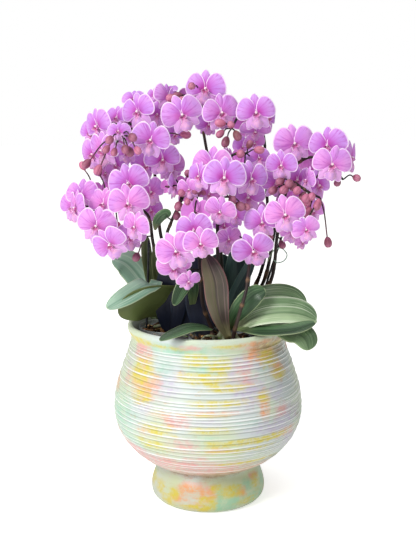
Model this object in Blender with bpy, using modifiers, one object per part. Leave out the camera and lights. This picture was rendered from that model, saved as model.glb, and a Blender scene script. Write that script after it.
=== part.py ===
# Three many-flowered moth orchids in clear nursery pots, standing in a footed ceramic vase.
# Metres, +Z up. The origin is the centre of the foot's flat underside.

import math

import bmesh
import bpy
from mathutils import Matrix, Vector

# Vase, outside sizes
FOOT_BASE_RADIUS = 0.061
FOOT_RADIUS = 0.070
FOOT_HEIGHT = 0.036
WAIST_RADIUS = 0.060
WAIST_HEIGHT = 0.045
BELLY_RADIUS = 0.114
BELLY_HEIGHT = 0.116
THROAT_RADIUS = 0.0925
THROAT_DROP = 0.017
LIP_RADIUS = 0.097
RIM_HEIGHT = 0.220
WALL = 0.006
VASE_STEPS = 36
POT_STEPS = 18

# Pots, bark and filling inside the vase
POT_RIM_DROP = 0.007
POT_HEIGHT = 0.094
POT_TAPER = 0.007
POT_WALL = 0.001
POT_ANGLES = (170, 50, 290)
POT_CLEARANCE = 0.0015
BARK_DROP = 0.007
CROWN_RADIUS = 0.008
CROWN_HEIGHT = 0.016
FILL_CLEARANCE = 0.001
GAP = 0.0003

# Plants
BLOOM_WIDTH = 0.046
BLOOM_THICKNESS = 0.0012
BLOOM_DEPTH = 0.004
LEAF_THICKNESS = 0.002
STEM_RADIUS = 0.0022
STEM_TIP_RADIUS = 0.0010
TWIG_RADIUS = 0.0008
BUD_LENGTH = 0.0125
BUD_RADIUS = 0.0046
STAKE_RADIUS = 0.0014

# The sizes that the plants' points below were laid out for. place() moves the points
# when the mouth or the blooms get another size.
LAID_OUT_THROAT = 0.0925
LAID_OUT_BLOOM = 0.046
SPRAY_START = 40  # mm above the rim
SPRAY_SPAN = 80

MM = 0.001
PETAL_PURPLE = (0.62, 0.25, 0.66, 1)
LEAF_GREEN = (0.10, 0.20, 0.07, 1)
STEM_BROWN = (0.09, 0.05, 0.04, 1)


# Leaves: plant, points from base to tip (x, y, height above the rim, in mm),
# width in mm, the way the upper face looks, and the fold along the midrib in degrees.
LEAVES = {
    "leaf_right_broad": (
        2, [(31, -42, 4), (58, -50, 23), (88, -54, 29), (110, -54, 28), (127, -54, 20)],
        43, (0.1, -0.75, 0.65), 24,
    ),
    "leaf_right_back": (
        1, [(45, 27, 2), (64, 6, 20), (86, 0, 29), (106, 2, 24), (119, 5, 14)],
        42, (0.2, -0.75, 0.65), 20,
    ),
    "leaf_right_low": (
        2, [(30, -56, -3), (48, -68, 5), (74, -84, 8), (98, -86, 11), (118, -82, 14)],
        22, (0.0, -0.2, 0.98), 8,
    ),
    "leaf_right_drooping": (
        1, [(36, 20, -6), (58, -4, 5), (84, -24, 10), (102, -44, 6), (112, -64, -12)],
        34, (0.4, -0.35, 0.85), 12,
    ),
    "leaf_centre_round": (
        2, [(28, -50, 9), (37, -58, 22), (48, -63, 38), (58, -66, 48), (65, -67, 52)],
        32, (0.35, -0.9, 0.35), 22,
    ),
    "leaf_centre_tall": (
        2, [(13, -58, 4), (14, -61, 30), (15, -64, 56), (9, -65, 76), (-1, -63, 90)],
        26, (0.25, -1.0, 0.1), 34,
    ),
    "leaf_centre_back": (
        1, [(24, 21, 3), (30, 14, 28), (38, 6, 52), (38, 2, 72), (35, 0, 84)],
        30, (0.2, -1.0, 0.2), 14,
    ),
    "leaf_left_sage": (
        0, [(-60, 2, 2), (-68, -8, 34), (-82, -18, 48), (-98, -28, 36), (-110, -35, 20)],
        34, (-0.6, -0.5, 0.6), 14,
    ),
    "leaf_left_olive": (
        0, [(-50, -8, 2), (-57, -22, 18), (-66, -36, 32), (-83, -50, 32), (-101, -56, 22)],
        44, (-0.1, 0.85, 0.5), 14,
    ),
    "leaf_left_back": (
        0, [(-68, 16, 0), (-78, 36, 34), (-90, 36, 60), (-103, 32, 78), (-115, 26, 86)],
        36, (-0.15, -0.95, 0.3), 14,
    ),
    "leaf_left_upright": (
        0, [(-57, 21, 6), (-65, 20, 38), (-73, 20, 64), (-78, 16, 88), (-80, 14, 104)],
        13, (0.1, -1.0, 0.1), 10,
    ),
    "leaf_front_narrow": (
        2, [(3, -55, 2), (-8, -68, 10), (-28, -86, 12), (-44, -97, 8), (-55, -103, 4)],
        19, (0.0, -0.45, 0.9), 12,
    ),
}

# Flower spikes. "foot" is where the stem leaves the bark beside its plant's crown, as an
# angle in degrees and a distance in mm. "path" is its points (x, y, height above the rim,
# in mm), and "buds" is where the buds hang.
# Blooms: place in mm, then how far the face turns to the right, how far it looks up and
# how far it leans clockwise, in degrees, and its width as a share of a full bloom.
SPIKES = {
    "top": {
        "plant": 1, "foot": (200, 14),
        "path": [(17, 14, 60), (13, 6, 110), (9, 4, 160), (-2, 4, 208), (-8, 6, 250),
                 (-4, 10, 268), (6, 8, 262)],
        "buds": [(-18, -2, 275), (-35, 2, 268), (-50, 4, 262)],
        "blooms": [
            (-29, -35, 247, 5, -5, -22, 1.0),
            (-3, -15, 276, -8, 5, 0, 0.97),
            (16, -25, 249, 15, 0, -8, 0.93),
        ],
    },
    "top_right": {
        "plant": 1, "foot": (60, 14),
        "path": [(62, 30, 46), (72, 10, 102), (70, 12, 160), (66, 10, 220), (54, 8, 250),
                 (38, -4, 248), (27, -30, 232)],
        "buds": [(14, -32, 238), (26, -36, 236), (14, -34, 226), (20, -36, 217), (33, -34, 224)],
        "blooms": [(55, -25, 249, 0, 0, -6, 0.91)],
    },
    "upper_left": {
        "plant": 0, "foot": (60, 16),
        "path": [(-46, 20, 50), (-58, 12, 110), (-62, 4, 165), (-66, 4, 205), (-78, 4, 232),
                 (-94, -8, 235), (-100, -26, 223)],
        "buds": [(-115, -40, 209), (-106, -42, 206), (-88, -50, 207)],
        "blooms": [
            (-130, -5, 233, -40, -5, -10, 0.95),
            (-65, -45, 219, -5, 0, 12, 0.93),
            (-81, -20, 250, -32, 5, -15, 0.95),
            (-123, -20, 206, -35, -10, 0, 0.95),
        ],
    },
    "right": {
        "plant": 1, "foot": (20, 15),
        "path": [(69, 24, 46), (78, 6, 100), (86, 2, 150), (94, -6, 176), (106, -10, 192),
                 (124, -10, 198), (146, -10, 186), (158, -10, 172)],
        "buds": [(170, -34, 176), (148, -36, 171), (90, -30, 178)],
        "blooms": [
            (100, -20, 214, 3, 0, -8, 0.98),
            (136, -31, 212, -22, 0, -8, 0.95),
            (140, -50, 192, 0, 0, 8, 0.92),
            (166, -23, 198, 65, -5, 0, 0.85),
            (83, -40, 190, -15, 0, 0, 0.75),
        ],
    },
    "centre": {
        "plant": 2, "foot": (95, 14),
        "path": [(12, -30, 50), (11, -28, 110), (12, -30, 155), (16, -34, 185), (28, -36, 202),
                 (44, -36, 204)],
        "buds": [(37, -40, 204), (47, -38, 214), (58, -38, 208), (27, -62, 153), (36, -58, 146)],
        "blooms": [
            (18, -75, 179, 0, 0, 5, 0.98),
            (4, -54, 191, -15, 5, 4, 0.95),
            (49, -55, 176, 25, 0, 0, 0.9),
        ],
    },
    "right_low": {
        "plant": 1, "foot": (345, 15),
        "path": [(76, 14, 46), (82, -6, 104), (88, -22, 150), (96, -30, 170), (106, -36, 166),
                 (117, -40, 159), (128, -42, 154)],
        "buds": [(108, -44, 156), (113, -46, 150), (124, -48, 146), (97, -44, 167),
                 (137, -50, 104)],
        "blooms": [
            (61, -65, 128, -5, -5, -5, 0.85),
            (86, -75, 138, 0, 0, -12, 0.93),
            (109, -80, 122, 0, 0, -18, 0.66),
        ],
    },
    "front_right": {
        "plant": 2, "foot": (295, 31),
        "path": [(35, -80, 26), (43, -77, 54), (48, -56, 86), (54, -48, 104), (62, -47, 116)],
        "buds": [(70, -40, 110)],
        "blooms": [(51, -75, 97, 5, -25, -25, 1.0)],
    },
    "front_low": {
        "plant": 2, "foot": (140, 15),
        "path": [(-6, -44, 30), (-9, -58, 70), (-11, -60, 100), (-16, -62, 122), (-28, -64, 124),
                 (-40, -66, 108)],
        "buds": [(-8, -66, 130)],
        "blooms": [
            (-8, -100, 109, 0, -5, -12, 0.78),
            (-35, -95, 100, -5, -5, -25, 0.95),
            (-38, -80, 78, -15, -25, -20, 0.85),
        ],
    },
    "left_low": {
        "plant": 0, "foot": (95, 15),
        "path": [(-56, 10, 44), (-66, 4, 96), (-70, -8, 128), (-86, -24, 142), (-108, -32, 144),
                 (-128, -30, 136)],
        "buds": [(-82, -50, 87), (-104, -34, 120), (-146, -10, 188), (-128, -12, 182)],
        "blooms": [
            (-90, -55, 171, -8, 0, -17, 1.0),
            (-89, -70, 150, -5, 0, -14, 0.98),
            (-126, -65, 124, -12, -5, 6, 0.95),
            (-110, -74, 104, -15, -15, -35, 0.9),
            (-153, -40, 142, -60, -5, 0, 0.85),
        ],
    },
    "left_centre": {
        "plant": 0, "foot": (20, 15),
        "path": [(-40, 10, 50), (-50, 10, 96), (-44, 4, 120), (-32, -6, 146), (-22, -14, 164),
                 (-8, -16, 162)],
        "buds": [(-33, -24, 142), (-28, -22, 158), (-19, -28, 150), (-23, -26, 180),
                 (-12, -30, 160), (-5, -30, 160)],
        "blooms": [],
    },
}

# Stakes: plant, foot as for a spike, and the top point.
STAKES = {
    "stake_left": (0, (178, 30), (-71, 6, 98)),
    "stake_right": (1, (5, 27), (93, 20, 112)),
}


def clear_scene():
    for item in list(bpy.data.objects):
        bpy.data.objects.remove(item, do_unlink=True)


def new_collection(name):
    made = bpy.data.collections.new(name)
    bpy.context.scene.collection.children.link(made)
    return made


def material(name, colour, roughness, metallic=0.0, transmission=0.0):
    made = bpy.data.materials.new(name)
    made.use_nodes = True
    shader = made.node_tree.nodes["Principled BSDF"]
    shader.inputs["Base Color"].default_value = colour
    shader.inputs["Roughness"].default_value = roughness
    shader.inputs["Metallic"].default_value = metallic
    shader.inputs["Transmission Weight"].default_value = transmission
    return made


def add_object(name, data, collection, finish):
    made = bpy.data.objects.new(name, data)
    collection.objects.link(made)
    data.materials.append(finish)
    return made


def smooth_shade(mesh):
    mesh.shade_smooth()
    mesh.set_sharp_from_angle(angle=math.radians(40))


# Vase


def vase_outline():
    """The outside of the vase from the rim down to the centre of the underside."""
    throat = RIM_HEIGHT - THROAT_DROP
    points = [(LIP_RADIUS, RIM_HEIGHT), (LIP_RADIUS, RIM_HEIGHT - 0.006)]
    points.append((LIP_RADIUS - 0.0025, RIM_HEIGHT - 0.011))
    steps = 6
    for i in range(steps + 1):
        rise = 1 - i / steps
        swell = (1 - rise**2) ** 1.6
        radius = THROAT_RADIUS + (BELLY_RADIUS - THROAT_RADIUS) * swell
        points.append((radius, BELLY_HEIGHT + (throat - BELLY_HEIGHT) * rise))
    # The lower bowl is part of an ellipse that meets the waist.
    start = math.acos(WAIST_RADIUS / BELLY_RADIUS)
    half_height = (BELLY_HEIGHT - WAIST_HEIGHT) / math.sin(start)
    for i in range(1, steps + 1):
        turn = start * i / steps
        points.append((BELLY_RADIUS * math.cos(turn), BELLY_HEIGHT - half_height * math.sin(turn)))
    points.append((WAIST_RADIUS + 0.0015, (WAIST_HEIGHT + FOOT_HEIGHT) / 2))
    points.append((FOOT_RADIUS - 0.004, FOOT_HEIGHT))
    points.append((FOOT_RADIUS, FOOT_HEIGHT * 0.45))
    points.append((FOOT_RADIUS - 0.0006, FOOT_HEIGHT * 0.22))
    points.append((FOOT_RADIUS - 0.004, FOOT_HEIGHT * 0.08))
    points.append((FOOT_BASE_RADIUS, 0))
    points.append((0, 0))
    return points


def moved_in(points, distance):
    """A turned outline moved towards its inside by the same distance all along."""
    moved = []
    for i, (x, z) in enumerate(points):
        before = Vector(points[max(i - 1, 0)])
        after = Vector(points[min(i + 1, len(points) - 1)])
        here = Vector((x, z))
        sides = [side.normalized() for side in (here - before, after - here) if side.length > 0]
        normals = [Vector((side.y, -side.x)) for side in sides]
        middle = sum(normals, Vector((0, 0))).normalized()
        reach = distance / max(0.5, middle.dot(normals[0]))
        spot = here + middle * reach
        moved.append((max(spot.x, 0) if x > 0 else 0, spot.y))
    return moved


def turned(name, points, collection, finish, steps, thickness=0.0):
    """A turned piece. Its outline runs down the outer side; a thickness makes a shell of it."""
    mesh = bpy.data.meshes.new(name)
    edges = [(i, i + 1) for i in range(len(points) - 1)]
    mesh.from_pydata([(x, 0, z) for x, z in points], edges, [])
    made = add_object(name, mesh, collection, finish)
    screw = made.modifiers.new("Turn", "SCREW")
    screw.steps = screw.render_steps = steps
    screw.use_merge_vertices = True
    screw.merge_threshold = 0.00001
    screw.use_smooth_shade = True
    if thickness:
        shell = made.modifiers.new("Wall", "SOLIDIFY")
        shell.thickness = thickness
        shell.offset = -1
        shell.use_even_offset = True
    return made


# Inside the vase


def mouth_radius():
    return THROAT_RADIUS - WALL - POT_CLEARANCE


def pot_radius():
    """Three equal circles that touch each other and the mouth, less half the gap between."""
    return mouth_radius() / (1 + 2 / math.sqrt(3)) - POT_CLEARANCE / 3


def pot_centre(plant):
    distance = mouth_radius() - pot_radius()
    angle = math.radians(POT_ANGLES[plant])
    return Vector((distance * math.cos(angle), distance * math.sin(angle), 0))


def pot_top():
    return RIM_HEIGHT - POT_RIM_DROP


def bark_top():
    return pot_top() - BARK_DROP


def pot_outline():
    top, bottom = pot_top(), pot_top() - POT_HEIGHT
    radius = pot_radius()
    return [
        (radius, top),
        (radius, top - 0.004),
        (radius - 0.0012, top - 0.005),
        (radius - POT_TAPER, bottom + 0.002),
        (radius - POT_TAPER - 0.002, bottom),
        (0, bottom),
    ]


def bark_outline():
    """The bark and roots, which fill the pot, with the plant's short stem on top."""
    inside = moved_in(pot_outline(), POT_WALL + GAP)
    top = bark_top()
    return [
        (0, top + CROWN_HEIGHT),
        (CROWN_RADIUS * 0.6, top + CROWN_HEIGHT * 0.9),
        (CROWN_RADIUS, top + CROWN_HEIGHT * 0.4),
        (CROWN_RADIUS, top + 0.0005),
        (inside[2][0] - 0.001, top),
        *inside[3:],
    ]


def fill_outline():
    """The clay pebbles under the pots, up to the pots' undersides."""
    top = pot_top() - POT_HEIGHT - GAP
    inside = moved_in(vase_outline(), WALL + FILL_CLEARANCE)
    below = [point for point in inside if point[1] < top - 0.001]
    above = [point for point in inside if point[1] >= top - 0.001 and point[0] > 0][-1]
    share = (top - below[0][1]) / (above[1] - below[0][1])
    radius = below[0][0] + (above[0] - below[0][0]) * share
    return [(0, top), (radius, top), *below]


# Plants


def place(point, in_spray=True):
    """A point of the layout in metres. Leaves and the low stems follow the mouth's size, as
    the pots do, and up in the sprays the layout follows the blooms' size."""
    x, y, rise = point
    share = min(max((rise - SPRAY_START) / SPRAY_SPAN, 0), 1) if in_spray else 0
    share = share * share * (3 - 2 * share)
    mouth = THROAT_RADIUS / LAID_OUT_THROAT
    scale = (mouth * (1 - share) + BLOOM_WIDTH / LAID_OUT_BLOOM * share) * MM
    return Vector((x * scale, y * scale, RIM_HEIGHT + rise * scale))


def smooth_path(points, per_span):
    """Points on a smooth curve (Catmull-Rom) through the given ones."""
    ends = [points[0] * 2 - points[1], *points, points[-1] * 2 - points[-2]]
    path = []
    for a, b, c, d in zip(ends, ends[1:], ends[2:], ends[3:]):
        for i in range(per_span):
            t = i / per_span
            path.append(
                0.5 * (2 * b + (c - a) * t + (2 * a - 5 * b + 4 * c - d) * t**2
                       + (3 * b - a - 3 * c + d) * t**3)
            )
    path.append(points[-1])
    return path


def tube(name, path, radii, collection, finish, sides=1):
    """A closed tube along the path, as a mesh that a Boolean can take."""
    curve = bpy.data.curves.new(name, "CURVE")
    curve.dimensions = "3D"
    curve.bevel_depth = 1
    curve.bevel_resolution = sides
    curve.use_fill_caps = True
    spline = curve.splines.new("POLY")
    spline.points.add(len(path) - 1)
    for point, spot, radius in zip(spline.points, path, radii):
        point.co = (*spot, 1)
        point.radius = radius
    rough = bpy.data.objects.new(name + "_curve", curve)
    collection.objects.link(rough)
    bpy.context.view_layer.update()
    graph = bpy.context.evaluated_depsgraph_get()
    mesh = bpy.data.meshes.new_from_object(rough.evaluated_get(graph))
    bpy.data.objects.remove(rough, do_unlink=True)
    work = bmesh.new()
    work.from_mesh(mesh)
    bmesh.ops.remove_doubles(work, verts=work.verts, dist=0.00001)
    bmesh.ops.recalc_face_normals(work, faces=work.faces)
    work.to_mesh(mesh)
    work.free()
    mesh.materials.clear()
    return add_object(name, mesh, collection, finish)


def bloom_frame(turn, tilt, lean):
    """The bloom's own axes: x to its right, y to its top, z out of its face."""
    turn, tilt, lean = (math.radians(angle) for angle in (turn, tilt, lean))
    face = Vector((
        math.sin(turn) * math.cos(tilt), -math.cos(turn) * math.cos(tilt), math.sin(tilt)
    ))
    right = Vector((0, 0, 1)).cross(face).normalized()
    top = face.cross(right)
    across = right * math.cos(lean) - top * math.sin(lean)
    up = top * math.cos(lean) + right * math.sin(lean)
    return Matrix((across, up, face)).transposed()


def lobe(angle, centre, length, half_angle):
    """How far a petal reaches at an angle from the bloom's top, as a share of the width."""
    away = abs(angle - centre) / half_angle
    return length * (1 - away**3) if away < 1 else 0


def bloom_reach(angle):
    angle = abs(angle)
    petal = lobe(angle, 72, 0.5, 62)
    crest = lobe(angle, 0, 0.46, 22)
    low_petal = lobe(angle, 146, 0.42, 22)
    lip = lobe(angle, 180, 0.40, 18)
    return max(petal, crest, low_petal, lip, 0.24)


def bloom(name, spot, frame, width, collection, finish):
    """A bloom as one closed thin piece, a little hollow at the back."""
    work = bmesh.new()
    segments = 30
    bmesh.ops.create_circle(work, cap_ends=True, cap_tris=True, segments=segments, radius=1)
    for vert in work.verts:
        if vert.co.length > 0.5:
            angle = math.degrees(math.atan2(vert.co.x, vert.co.y))
            reach = bloom_reach(angle) * width
            vert.co = Vector((vert.co.x * reach, vert.co.y * reach, -BLOOM_DEPTH))
    mesh = bpy.data.meshes.new(name)
    work.to_mesh(mesh)
    work.free()
    made = add_object(name, mesh, collection, finish)
    made.location = spot
    made.rotation_euler = frame.to_euler()
    shell = made.modifiers.new("Thickness", "SOLIDIFY")
    shell.thickness = BLOOM_THICKNESS
    shell.offset = -1
    smooth_shade(mesh)
    return made


def bud(name, spot, towards, collection, finish):
    """A closed bud, with its stalk end towards the stem."""
    work = bmesh.new()
    bmesh.ops.create_uvsphere(work, u_segments=6, v_segments=4, radius=1)
    for vert in work.verts:
        plump = 1 - 0.18 * vert.co.z
        vert.co = (
            vert.co.x * BUD_RADIUS * plump,
            vert.co.y * BUD_RADIUS * plump,
            vert.co.z * BUD_LENGTH / 2,
        )
    mesh = bpy.data.meshes.new(name)
    work.to_mesh(mesh)
    work.free()
    made = add_object(name, mesh, collection, finish)
    made.location = spot
    made.rotation_euler = towards.to_track_quat("Z", "Y").to_euler()
    return made


def stem_foot(plant, foot, radius):
    """A place on the bark beside a plant's crown, where a leaning stem just clears it."""
    angle, distance = foot
    turn = math.radians(angle)
    lift = GAP + radius * 0.5
    offset = Vector((math.cos(turn), math.sin(turn), 0)) * distance * MM
    return pot_centre(plant) + offset + Vector((0, 0, bark_top() + lift))


def nearest(path, spot):
    """The stem point that a twig to this place leaves from."""
    return min(path, key=lambda point: (point - spot).length)


def spike(name, spec, collection, helpers, finish, petal):
    foot = stem_foot(spec["plant"], spec["foot"], STEM_RADIUS)
    upright = foot + Vector((0, 0, 0.012))
    points = [foot, upright, *(place(point) for point in spec["path"])]
    path = smooth_path(points, 2)
    last = len(path) - 1
    radii = [STEM_RADIUS + (STEM_TIP_RADIUS - STEM_RADIUS) * i / last for i in range(last + 1)]
    stem = tube("spike_" + name, path, radii, collection, finish)
    twigs = bpy.data.collections.new("twigs_" + name)
    helpers.children.link(twigs)
    budding = path[len(path) // 3:]
    for i, point in enumerate(spec["buds"]):
        spot = place(point)
        start = nearest(budding, spot)
        away = (spot - start).normalized()
        middle = (start + spot) / 2 + Vector((0, 0, 0.1 * (spot - start).length))
        route = [start, middle, spot]
        tube(f"stalk_{name}_{i + 1}", route, [TWIG_RADIUS] * 3, twigs, finish, 0)
        bud(f"bud_{name}_{i + 1}", spot, -away, twigs, finish)
    for i, (x, y, rise, turn, tilt, lean, share) in enumerate(spec["blooms"]):
        spot = place((x, y, rise))
        frame = bloom_frame(turn, tilt, lean)
        face = frame.col[2]
        bloom(f"flower_{name}_{i + 1}", spot, frame, BLOOM_WIDTH * share, collection, petal)
        end = spot - face * (BLOOM_THICKNESS + GAP)
        back = spot - face * 0.009
        start = nearest(budding, back)
        tube(f"twig_{name}_{i + 1}", [start, back, end], [TWIG_RADIUS] * 3, twigs, finish, 0)
    for helper in twigs.objects:
        helper.hide_render = True
        helper.display_type = "WIRE"
    if twigs.objects:
        union = stem.modifiers.new("Grown together", "BOOLEAN")
        union.operation = "UNION"
        union.operand_type = "COLLECTION"
        union.collection = twigs
        union.solver = "EXACT"
    return stem


def leaf_half_width(along):
    """Half the leaf's width at a share of its length, as a share of the full width."""
    grow = min(along / 0.45, 1)
    base = 0.12 + 0.38 * math.sin(grow * math.pi / 2)
    tip = max(0.0, (along - 0.55) / 0.45)
    return base * math.sqrt(max(1 - tip**2.6, 0.01))


def leaf(name, spec, collection, finish):
    """A leaf bent along its points, folded along the midrib, with an even thickness."""
    _, points, width, faces, fold = spec
    path = smooth_path([place(point, False) for point in points], 2)
    rows = len(path) - 1
    scale = THROAT_RADIUS / LAID_OUT_THROAT * MM
    fold = math.radians(fold)
    work = bmesh.new()
    bmesh.ops.create_grid(work, x_segments=2, y_segments=rows, size=1)
    for vert in work.verts:
        row = round((vert.co.y + 1) / 2 * rows)
        side = round(vert.co.x)
        along = (path[min(row + 1, rows)] - path[max(row - 1, 0)]).normalized()
        across = along.cross(Vector(faces)).normalized()
        up = across.cross(along)
        reach = width * scale * leaf_half_width(row / rows)
        aside = across * side * math.cos(fold) + up * abs(side) * math.sin(fold)
        vert.co = path[row] + aside * reach
    mesh = bpy.data.meshes.new(name)
    work.to_mesh(mesh)
    work.free()
    made = add_object(name, mesh, collection, finish)
    shell = made.modifiers.new("Thickness", "SOLIDIFY")
    shell.thickness = LEAF_THICKNESS
    shell.offset = 0
    smooth_shade(mesh)
    return made


def main():
    clear_scene()
    parts = new_collection("orchid_in_vase")
    helpers = new_collection("helpers")
    helpers.hide_render = True

    glaze = material("pastel_glaze", (0.80, 0.85, 0.78, 1), 0.35)
    clay = material("clay_pebbles", (0.42, 0.20, 0.12, 1), 0.9)
    plastic = material("clear_plastic", (0.85, 0.88, 0.88, 1), 0.15, transmission=0.8)
    bark = material("bark_and_roots", (0.16, 0.08, 0.04, 1), 0.9)
    green = material("leaf_green", LEAF_GREEN, 0.4)
    brown = material("stem_brown", STEM_BROWN, 0.5)
    purple = material("petal_purple", PETAL_PURPLE, 0.5)
    black = material("stake_black", (0.02, 0.02, 0.02, 1), 0.5)

    turned("vase", vase_outline(), parts, glaze, VASE_STEPS, WALL)
    turned("pebble_fill", fill_outline(), parts, clay, VASE_STEPS)
    for plant, side in enumerate(("left", "back", "front")):
        pot = turned("pot_" + side, pot_outline(), parts, plastic, POT_STEPS, POT_WALL)
        pot.location = pot_centre(plant)
        roots = turned("root_ball_" + side, bark_outline(), parts, bark, POT_STEPS)
        roots.location = pot_centre(plant)
    for name, (plant, foot, top) in STAKES.items():
        route = [stem_foot(plant, foot, STAKE_RADIUS), place(top)]
        tube(name, route, [STAKE_RADIUS] * 2, parts, black)
    for name, spec in LEAVES.items():
        leaf(name, spec, parts, green)
    for name, spec in SPIKES.items():
        spike(name, spec, parts, helpers, brown, purple)


main()
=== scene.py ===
# Moth orchids in clear pots, standing in a ribbed and footed pastel vase.
# Plant points are in mm from the vase's axis, with the height counted from its rim.
import math
from functools import cache

import bpy
import numpy as np
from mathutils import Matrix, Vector


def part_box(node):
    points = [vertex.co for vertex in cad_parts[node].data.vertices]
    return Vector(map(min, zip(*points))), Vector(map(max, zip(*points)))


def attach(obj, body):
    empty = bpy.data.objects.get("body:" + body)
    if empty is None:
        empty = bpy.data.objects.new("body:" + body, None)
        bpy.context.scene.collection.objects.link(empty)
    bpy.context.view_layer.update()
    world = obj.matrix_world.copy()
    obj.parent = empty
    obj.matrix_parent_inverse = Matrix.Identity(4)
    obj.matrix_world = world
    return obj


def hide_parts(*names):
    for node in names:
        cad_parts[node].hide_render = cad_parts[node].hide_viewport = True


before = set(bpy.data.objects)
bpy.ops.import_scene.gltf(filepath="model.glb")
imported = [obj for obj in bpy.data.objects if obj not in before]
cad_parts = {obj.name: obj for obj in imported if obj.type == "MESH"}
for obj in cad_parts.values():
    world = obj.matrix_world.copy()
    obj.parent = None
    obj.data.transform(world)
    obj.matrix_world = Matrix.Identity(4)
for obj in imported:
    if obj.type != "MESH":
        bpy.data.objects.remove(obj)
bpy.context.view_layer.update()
mm = 0.001
fullTurn = 6.28  # radians, for the random draws
crownHeight = 0.016  # of the short stem that stands above the bark
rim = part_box("vase")[1].z
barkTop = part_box("root_ball_left")[1].z - crownHeight
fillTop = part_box("pebble_fill")[1].z
rng = np.random.default_rng(7)
print("frame loaded:", len(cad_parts), "solids, rim at", round(rim, 4))


# Shader maths: a Value is one socket, and an expression on it adds its Math nodes.
class Value:
    def __init__(self, look, socket):
        self.look, self.socket = look, socket

    def math(self, operation, *others):
        sockets = dict(enumerate((self, *others)))
        return self.look.node("Math", {"operation": operation}, sockets)

    def __add__(self, other):
        return self.math("ADD", other)

    def __sub__(self, other):
        return self.math("SUBTRACT", other)

    def __mul__(self, other):
        return self.math("MULTIPLY", other)

    def __rsub__(self, other):
        return self.look.node("Math", {"operation": "SUBTRACT"}, {0: other, 1: self})

    __radd__ = __add__
    __rmul__ = __mul__

    def step(self, low, high):  # 0 below low, 1 above high, smooth between
        return self.look.node(
            "MapRange", {"interpolation_type": "SMOOTHSTEP"}, {0: self, 1: low, 2: high}
        )


class Look:
    def __init__(self, name, fixed):
        self.material = bpy.data.materials.new(name)
        self.material.use_nodes = True
        self.tree = self.material.node_tree
        self.shader = self.tree.nodes["Principled BSDF"]
        for socket, value in fixed.items():
            self.feed(self.shader.inputs[socket], value)

    def feed(self, socket, value):
        if isinstance(value, Value):
            self.tree.links.new(value.socket, socket)
        elif isinstance(value, tuple) and socket.type == "RGBA":
            socket.default_value = (*value, 1)
        else:
            socket.default_value = value

    def node(self, kind, settings=None, sockets=None, out=0):
        made = self.tree.nodes.new("ShaderNode" + kind)
        for key, value in (settings or {}).items():
            setattr(made, key, value)
        for key, value in (sockets or {}).items():
            self.feed(made.inputs[key], value)
        return Value(self, made.outputs[out])

    def mark(self, name):  # a number stored on the mesh
        return self.node("Attribute", {"attribute_name": name}, out=2)

    def place(self):
        return self.node("TexCoord", out=3)

    def spot(self, x, y, z):
        return self.node("CombineXYZ", None, {0: x, 1: y, 2: z})

    def noise(self, vector, scale, detail=3.0, roughness=0.5):
        return self.node(
            "TexNoise", None,
            {"Vector": vector, "Scale": scale, "Detail": detail, "Roughness": roughness},
        )

    def blend(self, share, low, high, way="MIX"):
        return self.node("Mix", {"data_type": "RGBA", "blend_type": way}, {0: share, 6: low, 7: high}, 2)

    def coats(self, base, *coats):  # a base paint, then each coat's share and paint over the last
        colour = paint(*base)
        for share, shade, *way in coats:
            colour = self.blend(share, colour, paint(*shade), *way)
        return colour

    def finish(self, **fed):  # Base_Color=..., Roughness=..., Bump=(height, strength, distance)
        for key, value in fed.items():
            if key == "Bump":
                height, strength, distance = value
                value = self.node(
                    "Bump", None, {"Height": height, "Strength": strength, "Distance": distance}
                )
                key = "Normal"
            self.feed(self.shader.inputs[key.replace("_", " ")], value)
        return self.material


def paint(red, green, blue):  # 0 to 255 as a screen shows it, to the shader's own scale
    def straight(part):
        part /= 255
        return part / 12.92 if part < 0.04045 else ((part + 0.055) / 1.055) ** 2.4
    return tuple(straight(part) for part in (red, green, blue))


def placed(name, data):  # a new object in the scene
    made = bpy.data.objects.new(name, data)
    bpy.context.scene.collection.objects.link(made)
    return made


# A Heap gathers what becomes one mesh: points, faces, each face's look, and marks on points.
class Heap:
    def __init__(self):
        self.points, self.faces, self.looks, self.marks, self.size = [], [], [], [], 0

    def add(self, points, faces, look=0, **marks):
        points = np.asarray(points, float)
        self.points.append(points)
        self.faces += [tuple(i + self.size for i in face) for face in faces]
        self.looks += [look] * len(faces)
        self.marks.append((self.size, len(points), marks))
        self.size += len(points)

    def piece(self, name, looks, slot, replaced=(), sharp=None):
        points = np.concatenate(self.points)
        mesh = bpy.data.meshes.new(name)
        mesh.from_pydata(points.tolist(), [], self.faces)
        for mark in sorted({key for *_, marks in self.marks for key in marks}):
            values = np.zeros(self.size, np.float32)
            for start, count, marks in self.marks:
                if mark in marks:
                    values[start:start + count] = marks[mark]
            mesh.attributes.new(mark, "FLOAT", "POINT").data.foreach_set("value", values)
        for look in looks:
            mesh.materials.append(look)
        mesh.polygons.foreach_set("material_index", self.looks)
        mesh.shade_smooth()
        if sharp:
            mesh.set_sharp_from_angle(angle=math.radians(sharp))
        made = placed(name, mesh)
        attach(made, "root")
        if replaced:
            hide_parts(*replaced)


def smoothPath(points, perSpan):  # a smooth curve through the points
    points = np.asarray(points, float)
    ends = np.vstack([2 * points[0] - points[1], points, 2 * points[-1] - points[-2]])
    found = []
    for a, b, c, d in zip(ends, ends[1:], ends[2:], ends[3:]):
        t = (np.arange(perSpan) / perSpan)[:, None]
        found.append(
            0.5 * (2 * b + (c - a) * t + (2 * a - 5 * b + 4 * c - d) * t**2
                   + (3 * b - a - 3 * c + d) * t**3)
        )
    return np.vstack([*found, points[-1:]])


def unit(v):
    return v / np.maximum(np.linalg.norm(v, axis=-1, keepdims=True), 1e-12)


def swung(far, turn, height=0.0):  # a point at a distance and an angle
    return np.array([far * math.cos(turn), far * math.sin(turn), height])


def layout(point):
    x, y, rise = point
    return np.array([x * mm, y * mm, rim + rise * mm])


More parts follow.
